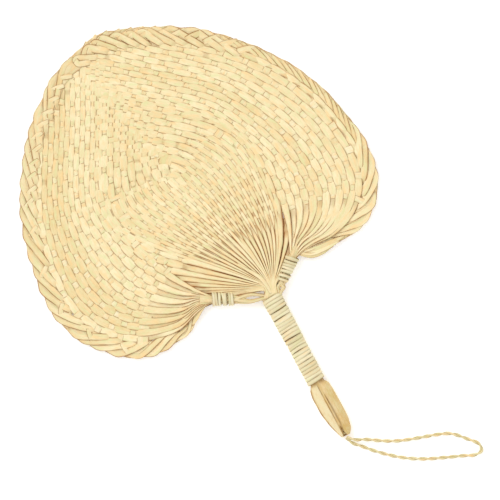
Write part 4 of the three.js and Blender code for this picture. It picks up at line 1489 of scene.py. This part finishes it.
    def _bars(self, rng: Rng) -> Iterator[RimStrip]:
        """Short bars across the rim left of the tip, then a few more down the left edge."""
        length = PLAN.half_outline(Side.LEFT).length
        low, high = np.array(self.bars) * length
        bars = np.arange(low, high, self.bar_pitch)
        strays = np.arange(self.stray_from * length, low, self.stray_pitch)
        for k, start in enumerate(np.concatenate([bars, strays])):
            way = (start, start + self.bar_length * rng.uniform(*self.bar_spread))
            at = rng.uniform(*self.bar_depth)
            half = rng.uniform(*self.bar_half)
            depths = (at, at + self.bar_across)
            yield RimStrip(way, depths, half, self.bar_rise, k + 90, rng.uniform(*self.bar_tone))

    def _edge(self, maker: MeshMaker, side: Side) -> None:
        """Adds the strip that runs along the edge under the others."""
        share = np.linspace(self.first_share, 1.0, 420)
        wide = PLAN.rim_width_at(share)
        plan = PLAN.on_side(side, PLAN.inset(side, share, self.edge_depth * wide))
        s = lengths(plan)
        half = self.edge_half * wide * (1 + 0.08 * np.sin(s / 3.1) * np.sin(s / 7.7))
        centre = np.column_stack([plan, np.full(len(s), PLAN.rim_height + 0.5)])
        rings = ribbon(centre, half, crown=0.4, thickness=0.6)
        # Painted shade: a little all over this strip, which lies under the others, and more at its edges.
        maker.loft(rings, strip_fibre(s, half, 800.0), np.clip(0.1 + 0.5 * EDGE, 0, 1)[None, :], 0.2)

    def _strip(self, maker: MeshMaker, side: Side, strip: RimStrip) -> None:
        """Adds one strip of the rim, which rises from under the others and dives at its far end.

        One that comes from the weave reaches its end depth early and bows out over the edge by a sine.

        Args:
            maker: collects the mesh.
            side: the half.
            strip: the strip.
        """
        rim = PLAN.half_outline(side)
        t = np.linspace(0, 1, self.samples)
        share = np.clip(lerp(*strip.way, t) / rim.length, self.first_share, 1)
        wide = PLAN.rim_width_at(share)
        depth = lerp(*strip.depths, t)
        if strip.from_weave:
            bowed = self.bow * np.sin(np.pi * smoothstep(t, self.bow_from, 1.0))
            depth = lerp(*strip.depths, np.minimum(t / self.come_out, 1)) - bowed
        plan = PLAN.on_side(side, PLAN.inset(side, share, wide * depth))
        keep = np.concatenate([[True], distance(np.diff(plan, axis=0)) > 0.05])
        plan, t, wide = eased(plan[keep], 3), t[keep], wide[keep]
        if len(t) < 8:
            return
        s = lengths(plan)
        taper = np.sin(np.pi * lerp(0.12, 0.88, t)) ** 0.3
        half = strip.half_width * np.maximum(wide / PLAN.rim_width, 0.55) * taper
        z = PLAN.rim_height + 0.55 + strip.above + 0.75 * np.sin(np.pi * lerp(0.03, 0.97, t)) ** 0.6
        z = z - 1.3 * strip.from_weave * fade(t, 0.0, 0.16)
        rings = ribbon(np.column_stack([plan, z]), half, self.crown, self.thickness, -self.tilt * side.sign)
        # Painted shade: brown lines at the edges, wider on warmer strips, and darker ends where the strip
        # comes from under and dives under the others.
        under = (0.5 * fade(t, 0.0, 0.2) + smoothstep(t, 0.88, 1.0))[:, None]
        shade = EDGE + (0.05 + 0.35 * max(strip.tone, 0.0)) * WIDE_EDGE + 0.4 * under
        maker.loft(rings, strip_fibre(s, half, 900.0 + 40 * strip.number), np.clip(shade, 0, 1), strip.tone)


@dataclass
class LeafBase:
    """The pleated foot of the leaf, which joins the ribs from below and runs on beneath them as a sheet of
    painted shade that shows between them, and a pleat that folds over them.
    """

    foot: float = -5.0
    reach: float = 56.0
    drop: float = 1.2
    ridge: float = 0.3
    ridge_between: Pair = (-4.0, 16.0)
    thickness: float = 0.6
    root_until: float = 4.0
    root_rise: float = 3.0
    root_between: Pair = (-2.0, 15.0)
    root_half: float = 2.6
    more_left: float = 3.0
    per_rib: int = 8
    rows: int = 40
    # Painted shade on the top of the sheet, where it shows between the ribs, and on its underside.
    painted_shade: Pair = (0.8, 0.2)
    fold: tuple[Pair, ...] = (
        (-9.5, 34.0), (-7.3, 27.0), (-3.8, 18.5), (-2.0, 12.0), (-2.2, 4.0), (-3.4, -3.0),
    )
    fold_half: float = 1.7
    fold_step: float = 0.8
    fold_rise: float = 0.9
    fold_tilt: float = -0.25
    fold_root: Pair = (4.0, 24.0)

    def build(self) -> None:
        """Makes the pleats: over rib number n the sheet stands ridge * cos(2 pi n) above its middle."""
        ends = {side: PLAN.fingers + PLAN.side_ribs[side] for side in Side}
        # The sheet runs further on the left, where its painted shade fills the dark gap beside the left
        # bundle.
        ends[Side.LEFT] += self.more_left
        count = int(sum(ends.values()) * self.per_rib) + 1
        number = np.linspace(-ends[Side.LEFT], ends[Side.RIGHT], count)
        top = np.full(count, self.reach)
        for _ in range(30):
            top = top * self.reach / distance(self._point(number, top))
        y = lerp(self.foot, top[None, :], np.linspace(0, 1, self.rows)[:, None])
        plan = PLAN.lean(self._point(np.broadcast_to(number, y.shape), y))
        at_root = fade(y, self.foot, self.root_until)[..., None]
        plan = plan + (np.array(PLAN.root) - (0, self.foot)) * at_root
        pleat = np.cos(2 * np.pi * number)[None, :] * smoothstep(y, *self.ridge_between)
        z = PLAN.height(plan) - self.drop + self.ridge * pleat + self.root_rise * fade(y, *self.root_between)
        upper = np.dstack([plan, z])
        lower = upper - (0, 0, self.thickness)
        fibre = joined(y, 4.0 * number[None, :], 1500.0)
        rings = np.concatenate([upper[:, ::-1], lower], axis=1)
        maker = MeshMaker()
        # Painted shade: the top is dark brown and the underside lighter.
        shade = np.repeat([self.painted_shade], count, axis=1)
        maker.loft(rings, np.concatenate([fibre[:, ::-1], fibre], axis=1), shade, 0.0)
        self._fold(maker)
        settle(maker.build("leaf_base_pleats", WEFT_STRAW.build()), Body.FAN, Slot.WEFT, "leaf_base")

    def _fold(self, maker: MeshMaker) -> None:
        """Adds the pleat that folds over the ribs at the middle of the neck."""
        plan = smooth_path(self.fold, 120, self.fold_step)
        s = np.arange(len(plan)) * self.fold_step
        half = self.fold_half * np.sin(np.pi * lerp(0.06, 0.8, s / s[-1])) ** 0.8
        root = self.root_rise * fade(distance(plan), *self.fold_root)
        z = PLAN.height(plan) + root + self.fold_rise * smoothstep(s, 0, 10)
        rings = ribbon(np.column_stack([plan, z]), half, 0.3 * half, 0.5, self.fold_tilt)
        # Painted shade at the edges of the pleat.
        maker.loft(rings, strip_fibre(s, half, 1600.0), 0.9 * EDGE, 0.4)

    def _point(self, number: Array, y: Array) -> Array:
        """Points of ribs at heights y, left of the midline for negative numbers, kept apart at the root."""
        count = np.abs(number)
        x = PLAN.rib(count, np.maximum(y, 0))[..., 0]
        x = np.maximum(np.maximum(x, 0), self.root_half * count / PLAN.fingers)
        return joined(np.sign(number) * x, y)


@dataclass
class Handle:
    """Place of the stalk in the plan: u runs down it from the top of the grip, v to its right."""

    at: Pair = (-5.3, -6.5)
    turn: float = math.radians(-10.9)
    grip: float = 81.0
    butt: float = 50.0
    top_half: float = 7.3
    foot_half: float = 6.3
    low: float = 2.1
    high: float = 10.5

    @property
    def tip(self) -> float:
        """How far down the butt ends."""
        return self.grip + self.butt

    @property
    def middle(self) -> float:
        """Height of the grip's middle."""
        return (self.low + self.high) / 2

    @property
    def half_high(self) -> float:
        """Half the grip's height."""
        return (self.high - self.low) / 2

    def place(self, v: Values, u: Values, z: Values) -> Array:
        """Points of the handle in the plan, at v to the right, u down and z high."""
        c, s = math.cos(self.turn), math.sin(self.turn)
        return joined(self.at[0] + c * v + s * u, self.at[1] + s * v - c * u, z)


HANDLE = Handle()


@dataclass
class Winding:
    """A flat strip wound in one unbroken run round a straight core, with turns that lap like shingles."""

    name: str
    node: str
    start: Array
    end: Array
    middle: float
    half_wide: Callable[[Array], Array]
    half_high: Callable[[Array], Array]
    turns: int
    strip: float
    seed: int = 5
    clearance: float = 0.5
    rise: float = 0.9
    swell: float = 0.4
    steps: int = 40
    loose: float = 1.0
    lap: float = 0.35
    ragged: float = 0.18
    across: tuple[float, ...] = (1.0, 0.8, 0.3, -0.3, -0.8, -1.0, 0.0)
    out: tuple[float, ...] = (0.35, 0.85, 1.0, 1.0, 0.85, 0.35, 0.0)

    def build(self) -> None:
        """Makes the winding: at angle a it lies at sin(a) of the half width and -cos(a) of the half height.

        It slips along the core, swells and changes its tone at random.
        """
        rng = np.random.default_rng(self.seed)
        turn = np.linspace(0, self.turns, self.turns * self.steps + 1)
        share = turn / self.turns
        slip = self._drawn(turn, rng, -self.loose, self.loose, 10) * np.sin(np.pi * share) ** 0.3
        tone = self._drawn(turn, rng, -1, 1, 8)
        swell = self._drawn(turn, rng, 0, self.swell, 5)
        core = (self.end - self.start)[:2]
        length, way = float(np.linalg.norm(core)), unit(core)
        left = np.array([-way[1], way[0]])
        v = np.array(self.across)
        rise = self.clearance + (self.rise + swell)[:, None] * (np.array(self.out) + self.lap * v)
        a = (2 * np.pi * turn)[:, None]
        x = (self.half_wide(share)[:, None] + rise) * np.sin(a)
        z = self.middle - (self.half_high(share)[:, None] + rise) * np.cos(a)
        half = self.strip / 2 * (1 + self.ragged * np.sin(9 * turn) * np.sin(2.3 * turn))
        along = lerp(self.strip / 2, length - self.strip / 2, share) + slip
        u = along[:, None] + half[:, None] * v
        plan = self.start[:2] + u[..., None] * way + x[..., None] * left
        around = (turn * 2 * np.pi * float(np.mean(self.half_wide(share))))[:, None]
        fibre = joined(around, half[:, None] * v, 2000.0 + self.seed)
        # Painted shade: brown lines at both edges of each turn, where the turns lap.
        shade = 0.75 * smoothstep(np.abs(v), 0.7, 1.0)
        maker = MeshMaker()
        maker.loft(np.dstack([plan, z])[:, ::-1], fibre[:, ::-1], shade[::-1], tone[:, None])
        settle(maker.build(self.name, BINDING_STRAW.build()), Body.FAN, Slot.BINDING, self.node)

    def _drawn(self, turn: Array, rng: Rng, low: float, high: float, passes: int) -> Array:
        """Values drawn from a range every half turn, and eased in between."""
        knots = np.arange(self.turns * 2 + 1) / 2
        return eased(np.interp(turn, knots, rng.uniform(low, high, len(knots))), passes)


@dataclass
class Bundle:
    """Tips of the fingers, gathered beside the neck, bound, and led round an eye to the grip in two legs.

    A loose end holds two points of the plan: where it bends and where it is cut.
    """

    side: Side
    foot: Pair
    root: Pair
    binding_start: float
    strip: float
    eye: float
    seed: int
    loose_ends: tuple[tuple[float, float, float, float], ...]
    strands: int = 14
    strand_seed: int = 11
    spread: float = 2.6
    strand_half: Pair = (1.5, 0.8)
    step: float = 0.8
    root_radius: float = 3.2
    radius: float = 4.3
    middle: float = 6.6
    turns: int = 7

    def radius_at(self, share: Array) -> Array:
        """Radius of the bound part, at shares of its binding."""
        return lerp(self.root_radius, self.radius, lerp(self.binding_start, 1.0, share))

    def build(self) -> None:
        """Makes the strands, the loose ends and the binding."""
        end = np.array(PLAN.bundle_end[self.side])
        start = lerp(np.array(self.root), end, self.binding_start)
        maker = MeshMaker()
        rng = np.random.default_rng(self.strand_seed)
        for k in range(self.strands):
            path = smooth_path(self._stations(k, start, end), 120, self.step)
            s = np.arange(len(path)) * self.step
            rings = tube(path, *self.strand_half, 8, rng.uniform(-0.5, 0.5) + 0.02 * s)
            # Painted shade: a little on every strand, more on its underside.
            shade = 0.12 + 0.5 * smoothstep(path[:, None, 2] - rings[..., 2], -0.3, 0.7)
            maker.loft(rings, tube_fibre(rings, s, 3000.0 + 40 * k), shade, float(rng.uniform(-0.6, 0.8)))
        self._loose(maker, end)
        name = f"{self.side.value}_tip_bundle"
        settle(maker.build(f"{name}_strands", BLADE_STRAW.build()), Body.FAN, Slot.BLADE, name)
        names = (f"{self.side.value}_bundle_wrap", f"{self.side.value}_bundle_binding")
        radii = (self.radius_at, self.radius_at)
        Winding(*names, start, end, self.middle, *radii, self.turns, self.strip, self.seed).build()

    def _way(self) -> Array:
        """Direction of the bound part, from its root to its mouth."""
        return unit(np.array(PLAN.bundle_end[self.side]) - self.root)

    def _stations(self, k: int, start: Array, end: Array) -> list[Array]:
        """Points that a strand goes through, from the mouth through the binding and a leg to the grip.

        In the binding they lie at turns of 0.382, each a little further out, which fills it evenly.

        Args:
            k: number of the strand, which is even in one leg and odd in the other.
            start: start of the binding in the plan.
            end: its end at the mouth.

        Returns:
            The points.
        """
        foot, way = np.array(self.foot), self._way()
        leg = unit(foot - start)
        a, r = 2 * np.pi * k * 0.382, self.spread * math.sqrt((k + 0.5) / self.strands)
        x, z = r * math.cos(a), r * math.sin(a)
        aside = np.array([-way[1], way[0]]) * x
        apart = np.array([leg[1], -leg[0]]) * (math.copysign(self.eye, k % 2 - 0.5) + 0.35 * x)
        return [
            np.append(end + way * 9 + aside * 1.6, self.middle - 0.8 + z * 0.3),
            np.append(end + aside, self.middle + z),
            np.append(lerp(end, start, 0.5) + aside, self.middle + z),
            np.append(start + leg * 0.5 + aside, self.middle + z),
            np.append(lerp(start, foot, 0.5) + apart, self.middle + 0.8 + 0.8 * z),
            np.append(foot + 0.4 * apart, self.middle + 1.0 + 0.6 * z),
            np.append(foot + leg * 4 + 0.2 * apart, self.middle + 0.5 * z),
        ]

    def _loose(self, maker: MeshMaker, end: Array) -> None:
        """Adds the cut ends that stick out of the binding's mouth over the rim, browned at the tip."""
        way = self._way()
        for k, ends in enumerate(np.array(self.loose_ends)):
            plan = smooth_path([end - way * 5, end + way * 1.5, ends[:2], ends[2:]], 80, self.step)
            s = np.arange(len(plan)) * self.step
            share = s / s[-1]
            low = PLAN.rim_height + 1.9 + 0.3 * (k % 3)
            z = self.middle + lerp(1.6 - 0.5 * (k % 3), low - self.middle, share**0.7)
            half = lerp(1.1, 2.2, smoothstep(share, 0.1, 0.5)) * (1 - 0.6 * smoothstep(share, 0.75, 1))
            tilt = 0.3 * (-1) ** k * np.sin(np.pi * share)
            rings = ribbon(np.column_stack([plan, z]), half, 0.25, 0.2, tilt)
            # Painted shade at the edges, and brown at the cut tips.
            shade = np.clip(0.7 * EDGE[None, :] + 0.7 * smoothstep(share, 0.93, 1.0)[:, None], 0, 1)
            maker.loft(rings, strip_fibre(s, half, 4000.0 + 40 * k), shade, 0.6 * (-1) ** k)


@dataclass
class Stalk:
    """The stalk with its carved butt, split at the tip for the cord.

    A section of the butt holds shares: of its length, of its half width left and right, and of its height
    below and above. The ring holds the corners of the carving, across and up.
    """

    sections: tuple[tuple[float, float, float, float, float], ...] = (
        (0.06, 0.88, 0.9, 0.0, 0.96), (0.2, 1.02, 0.96, 0.0, 1.0), (0.5, 1.0, 0.99, 0.0, 1.0),
        (0.73, 0.8, 0.98, 0.0, 0.95), (0.92, 0.5, 0.78, 0.05, 0.85), (1.0, 0.34, 0.46, 0.14, 0.75),
    )
    ring: tuple[Pair, ...] = (
        (-0.72, 0.0), (0.72, 0.0), (1.0, 0.3), (0.94, 0.64), (0.52, 0.92), (-0.22, 1.0),
        (-0.7, 0.74), (-1.0, 0.4),
    )
    roundness: float = 0.35
    butt_half: float = 9.8
    butt_high: float = 11.0
    head_rise: float = 4.0
    head_share: float = 0.75
    under_grip: float = 1.0
    carved_by: float = 4.0
    rows: int = 90
    per_edge: int = 14
    profile_passes: int = 6
    split_start: float = 0.6
    split_half: float = 1.9
    split_length: float = 13.0
    split_opens: float = 3.5
    split_floor: float = 0.35
    split_sharp: float = 1.4
    crease_at: float = -1.1
    crease_half: float = 0.4
    crease_depth: float = 0.9
    slit_at: float = 0.9
    slit_half: float = 0.36
    slit_ease: float = 4.0
    slit: Pair = (89.0, 103.0)
    streak_at: float = 1.17
    streak_half: float = 0.7

    def build(self) -> None:
        """Makes the stalk: its ring changes from the grip's oval to the carved one.

        Grooves are cut in its top, each a bell about its place across it: the split, a crease and a slit.
        """
        u, left, right, low, high = self._profile()
        oval, carved = self._rings()
        bare = smoothstep(u, HANDLE.grip - self.under_grip, HANDLE.grip + self.carved_by)[:, None]
        x = lerp(oval[:, 0], carved[:, 0], bare)
        h = np.maximum(lerp(oval[:, 1], carved[:, 1], bare), 0)
        v = x * np.where(x < 0, left, right)
        z = lerp(low, high, h)
        cut = self._split(u, v)
        z = lerp(z, low + self.split_floor * (high - low), np.where(h > 0.5, cut, 0.0))
        top = smoothstep(h, 0.5, 0.7) * bare
        crease = top * bell(v, self.crease_at, self.crease_half)
        begin, end = self.slit
        within = smoothstep(u, begin, begin + self.slit_ease) * fade(u, end - self.slit_ease, end)
        slit = top * within[:, None] * bell(v, self.slit_at, self.slit_half)
        z = z - self.crease_depth * np.maximum(crease * (1 - cut), slit)
        edge = smoothstep(-x, 0.84, 0.97) * bare
        streak = top * smoothstep(u, end - 6, end)[:, None] * bell(v, self.streak_at, self.streak_half)
        # Painted shade in the split, the crease and the slit and along the left outer edge; the streak is a
        # brown line from the slit to the tip.
        shade = np.clip(0.5 * cut + 0.6 * crease + 1.8 * slit + 0.7 * edge + 0.7 * streak, 0, 1)
        # Painted shade where the stalk runs in under the end of the grip.
        shaded = 0.5 * fade(u, HANDLE.grip - self.under_grip, HANDLE.grip + 3)[:, None]
        tone = 0.5 - 1.3 * smoothstep(self.crease_at - v, 0.0, 0.8) * top
        fibre = joined(u[:, None], v + 0.6 * z, 5000.0)
        maker = MeshMaker()
        maker.loft(HANDLE.place(v, u[:, None], z), fibre, np.maximum(shade, shaded), tone)
        settle(maker.build("stalk_butt", STALK_STRAW.build()), Body.FAN, Slot.STALK, "stem")

    def _profile(self) -> tuple[Array, Array, Array, Array, Array]:
        """Places down the stalk, and columns of its left half, right half, low and high at each, eased."""
        head, head_high = self.head_share * HANDLE.top_half, self.head_share * HANDLE.half_high
        keys = [
            (-self.head_rise, head, head, HANDLE.middle - head_high, HANDLE.middle + head_high),
            (0.0, HANDLE.top_half, HANDLE.top_half, HANDLE.low, HANDLE.high),
            (HANDLE.grip, HANDLE.foot_half, HANDLE.foot_half, HANDLE.low, HANDLE.high),
        ]
        scale = (HANDLE.butt, self.butt_half, self.butt_half, self.butt_high, self.butt_high)
        table = np.vstack([keys, np.array(self.sections) * scale + (HANDLE.grip, 0, 0, 0, 0)])
        bare = np.linspace(HANDLE.grip - self.under_grip, HANDLE.tip, self.rows)
        u = np.concatenate([[-self.head_rise, 0.0], bare])
        left, right, low, high = (np.interp(u, table[:, 0], table[:, k]) for k in range(1, 5))
        for x in (left, right, high):
            x[3:] = eased(x[3:], self.profile_passes)
        return (u, *(x[:, None] for x in (left, right, low, high)))

    def _rings(self) -> tuple[Array, Array]:
        """The grip's oval, and the carved ring with its corners a little rounded, point for point."""
        corners = np.array(self.ring + self.ring[:1])
        count = len(self.ring)
        corner = np.arange(count * self.per_edge) / self.per_edge
        rounded = through_points(corners, corner)
        flat = np.stack([np.interp(corner, np.arange(count + 1), corners[:, k]) for k in range(2)], axis=1)
        angle = 2 * np.pi * (corner - 2.5) / count
        oval = np.stack([np.cos(angle), (1 + np.sin(angle)) / 2], axis=1)
        return oval, lerp(flat, rounded, self.roundness)

    def _split(self, u: Array, v: Array) -> Array:
        """How deep the split is, from 0 to 1, at u down and v across: a bell that widens at the end."""
        opened = smoothstep(u, HANDLE.tip - self.split_length, HANDLE.tip - 2)[:, None]
        widened = smoothstep(u, HANDLE.tip - self.split_opens, HANDLE.tip)[:, None]
        return opened * bell(v, 0.0, lerp(self.split_start, self.split_half, widened)) ** self.split_sharp


@dataclass
class WristCord:
    """The two-ply wrist cord, whose ends are knotted in the split of the butt."""

    diameter: float = 3.1
    lay_length: float = 17.0
    step: float = 0.5
    sides: int = 8
    exit_height: float = 4.4
    stack: float = 1.9
    knot_length: float = 9.0
    knot_end: float = 1.2
    knot_turns: float = 2.5
    knot_half: Pair = (0.75, 1.6)
    knot_radius: float = 0.85
    route: tuple[tuple[float, float, float], ...] = (
        (-29.6, -143.0, 2.3), (-25.2, -150.5, 1.7), (-19.4, -160.0, 1.6), (-12.0, -170.5, 1.6),
        (-3.1, -181.0, 1.6), (9.1, -192.0, 1.6), (22.3, -201.3, 1.6), (35.8, -210.2, 1.6),
        (44.6, -216.2, 1.6), (50.6, -216.8, 1.6), (52.8, -211.8, 1.6), (47.4, -201.0, 1.6),
        (39.6, -189.4, 1.6), (29.9, -182.6, 1.6), (15.4, -174.6, 1.6), (0.5, -165.6, 1.6),
        (-10.2, -156.6, 2.0), (-18.4, -148.6, 3.6), (-25.6, -143.0, 5.6),
    )

    def build(self) -> None:
        """Makes the cord and its knot."""
        hinge = HANDLE.place(0.0, HANDLE.tip + self.diameter / 2 + PLAN.gap, 0.0)
        first, last = (hinge + (0, 0, self.exit_height + rise) for rise in (-self.stack, self.stack))
        path = smooth_path(np.vstack([first, self.route, last]), 900, self.step)
        finish = TWINE.build()
        piece = self._plies("wrist_cord_twine", path, finish)
        settle(piece, Body.LOOP, Slot.TWINE, "wrist_cord")
        line = PLACE(path)
        length = float(distance(np.diff(line, axis=0)).sum())
        tuple(line[0])
        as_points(line[::4].tolist() + [line[-1].tolist()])
        LOG.info("wrist cord: %.1f mm long", length / MM)
        self._knot(finish)

    def _plies(self, name: str, path: Array, finish: bpy.types.Material) -> bpy.types.Object:
        """A piece of two plies that wind round the path, half a turn apart, each half the cord's width."""
        s = np.arange(len(path)) * self.step
        _, left, up = directions(path)
        maker = MeshMaker()
        radius = self.diameter / 4
        b = np.linspace(0, 2 * np.pi, self.sides, endpoint=False)[None, :]
        for k in range(2):
            a = (2 * np.pi * s / self.lay_length + np.pi * k)[:, None]
            line = path + radius * (left * np.cos(a) + up * np.sin(a))
            ring = radius * (1 + 0.06 * np.sin(s / 2.1 + k) * np.sin(s / 5.3))[:, None]
            rings = line[:, None, :] - left[:, None, :] * (ring * np.cos(b))[..., None]
            rings = rings + up[:, None, :] * (ring * np.sin(b))[..., None]
            across = 0.8 * b + 0.15 * s[:, None]
            fibre = joined(s[:, None], across, 6000.0 + 40 * k)
            # Painted shade: a darker line along each ply that winds with its lay.
            maker.loft(rings, fibre, 0.4 * smoothstep(-np.cos(b - a), 0.3, 0.95), 0.3 * (-1) ** k)
        return maker.build(name, finish)

    def _knot(self, finish: bpy.types.Material) -> None:
        """Makes the knot in the split: a coil of twine along the stalk."""
        t = np.linspace(0, 2 * np.pi * self.knot_turns, 120)
        half = self.knot_length / 2
        u = HANDLE.tip - half + (half - self.knot_end) * np.linspace(-1, 1, len(t))
        wide, high = self.knot_half
        path = HANDLE.place(wide * np.sin(t), u, self.exit_height + high * np.cos(t))
        rings = tube(path, self.knot_radius, self.knot_radius, self.sides)
        maker = MeshMaker()
        maker.loft(rings, tube_fibre(rings, lengths(path), 7000.0), 0.3, 0.2)
        settle(maker.build("cord_knot_turns", finish), Body.FAN, Slot.TWINE, "cord_knot")


@dataclass
class Studio:
    """Camera straight above, a white floor and soft light."""

    view_centre: Pair = (5.7, 36.4)
    view_width: float = 420.0
    distance: float = 4.0
    turn: float = math.radians(-39.0)
    sensor: float = 36.0
    far_clip: float = 100.0
    floor_half: float = 6.0
    floor_height: float = -0.0002
    floor_glow: float = 0.22
    sun_strength: float = 0.75
    sun_angle: float = math.radians(25)
    sun_way: tuple[float, float, float] = (0.12, -0.75, -0.85)
    world_strength: float = 0.93

    def build(self) -> None:
        """Makes the camera, the floor, the sun and the world."""
        scene = bpy.context.scene
        scene.view_settings.view_transform = "Standard"
        data = bpy.data.cameras.new("camera")
        data.sensor_width = self.sensor
        data.lens = self.sensor * self.distance / (self.view_width * MM)
        data.clip_end = self.far_clip
        camera = added("camera", data)
        centre = PLACE(np.array([*self.view_centre, 0.0]))
        camera.location = (centre[0], centre[1], self.distance)
        camera.rotation_euler = (0.0, 0.0, self.turn)
        scene.camera = camera
        self._floor()
        self._lights()

    def _floor(self) -> None:
        """A wide white floor just under the fan."""
        mesh = bpy.data.meshes.new("floor")
        corners = np.array([[-1, -1], [1, -1], [1, 1], [-1, 1]]) * self.floor_half
        mesh.from_pydata(np.column_stack([corners, np.full(4, self.floor_height)]), [], [(0, 1, 2, 3)])
        s = Shader("floor_finish")
        s.dress(Base_Color=WHITE, Roughness=0.9, Specular_IOR_Level=0.0)
        s.dress(Emission_Color=WHITE, Emission_Strength=self.floor_glow)
        mesh.materials.append(s.material)
        added("floor", mesh)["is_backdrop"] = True

    def _lights(self) -> None:
        """A soft sun from beyond the blade's tip, and an even white world."""
        sun = bpy.data.lights.new("sun", "SUN")
        sun.energy = self.sun_strength
        sun.angle = self.sun_angle
        lamp = added("sun", sun)
        lamp.rotation_euler = Vector(self.sun_way).to_track_quat("-Z", "Y").to_euler()
        world = bpy.data.worlds.new("world")
        world.use_nodes = True
        background = world.node_tree.nodes["Background"]
        background.inputs["Color"].default_value = WHITE
        background.inputs["Strength"].default_value = self.world_strength
        bpy.context.scene.world = world


LEFT_BUNDLE = Bundle(
    Side.LEFT,
    foot=(-10.0, -1.2),
    root=(-13.5, -0.8),
    binding_start=0.5,
    strip=2.55,
    eye=2.7,
    seed=21,
    loose_ends=((-57.0, 24.0, -72.0, 17.5), (-58.0, 27.5, -74.0, 24.0), (-56.0, 31.0, -66.0, 33.5)),
)
RIGHT_BUNDLE = Bundle(
    Side.RIGHT,
    foot=(3.5, -6.5),
    root=(7.0, -2.5),
    binding_start=0.08,
    strip=2.95,
    eye=2.2,
    seed=22,
    loose_ends=(
        (44.5, -0.6, 62.0, -4.6), (45.5, 1.4, 69.5, -5.0), (46.5, 3.4, 74.5, -4.4),
        (46.5, 5.6, 66.0, 0.5), (46.0, 8.0, 60.0, 5.0),
    ),
)
GRIP_WRAP = Winding(
    "grip_wrap",
    "grip_binding",
    start=HANDLE.place(0.0, -3.6, 0.0),
    end=HANDLE.place(0.0, HANDLE.grip - 0.3, 0.0),
    middle=HANDLE.middle,
    half_wide=lambda share: lerp(HANDLE.foot_half, HANDLE.top_half, (1 - share) ** 2),
    half_high=lambda share: np.full(len(share), HANDLE.half_high),
    turns=25,
    strip=4.0,
)


def main() -> None:
    """Builds the fan piece by piece, and works out the two boxes."""
    logging.basicConfig(level=logging.INFO, format="%(name)s: %(message)s")
    Studio().build()
    WristCord().build()
    weave = Weave(PLAN)
    LOG.info("%d strips cross %d times", len(weave.strips), len(weave.found))
    Blade(weave).build()
    Rim().build()
    LeafBase().build()
    LEFT_BUNDLE.build()
    RIGHT_BUNDLE.build()
    GRIP_WRAP.build()
    Stalk().build()
    boxes = {"cad": CAD_BOX, "visual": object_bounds()}
    {k: [list(low), list(high)] for k, (low, high) in boxes.items()}


if __name__ == "__main__":
    main()
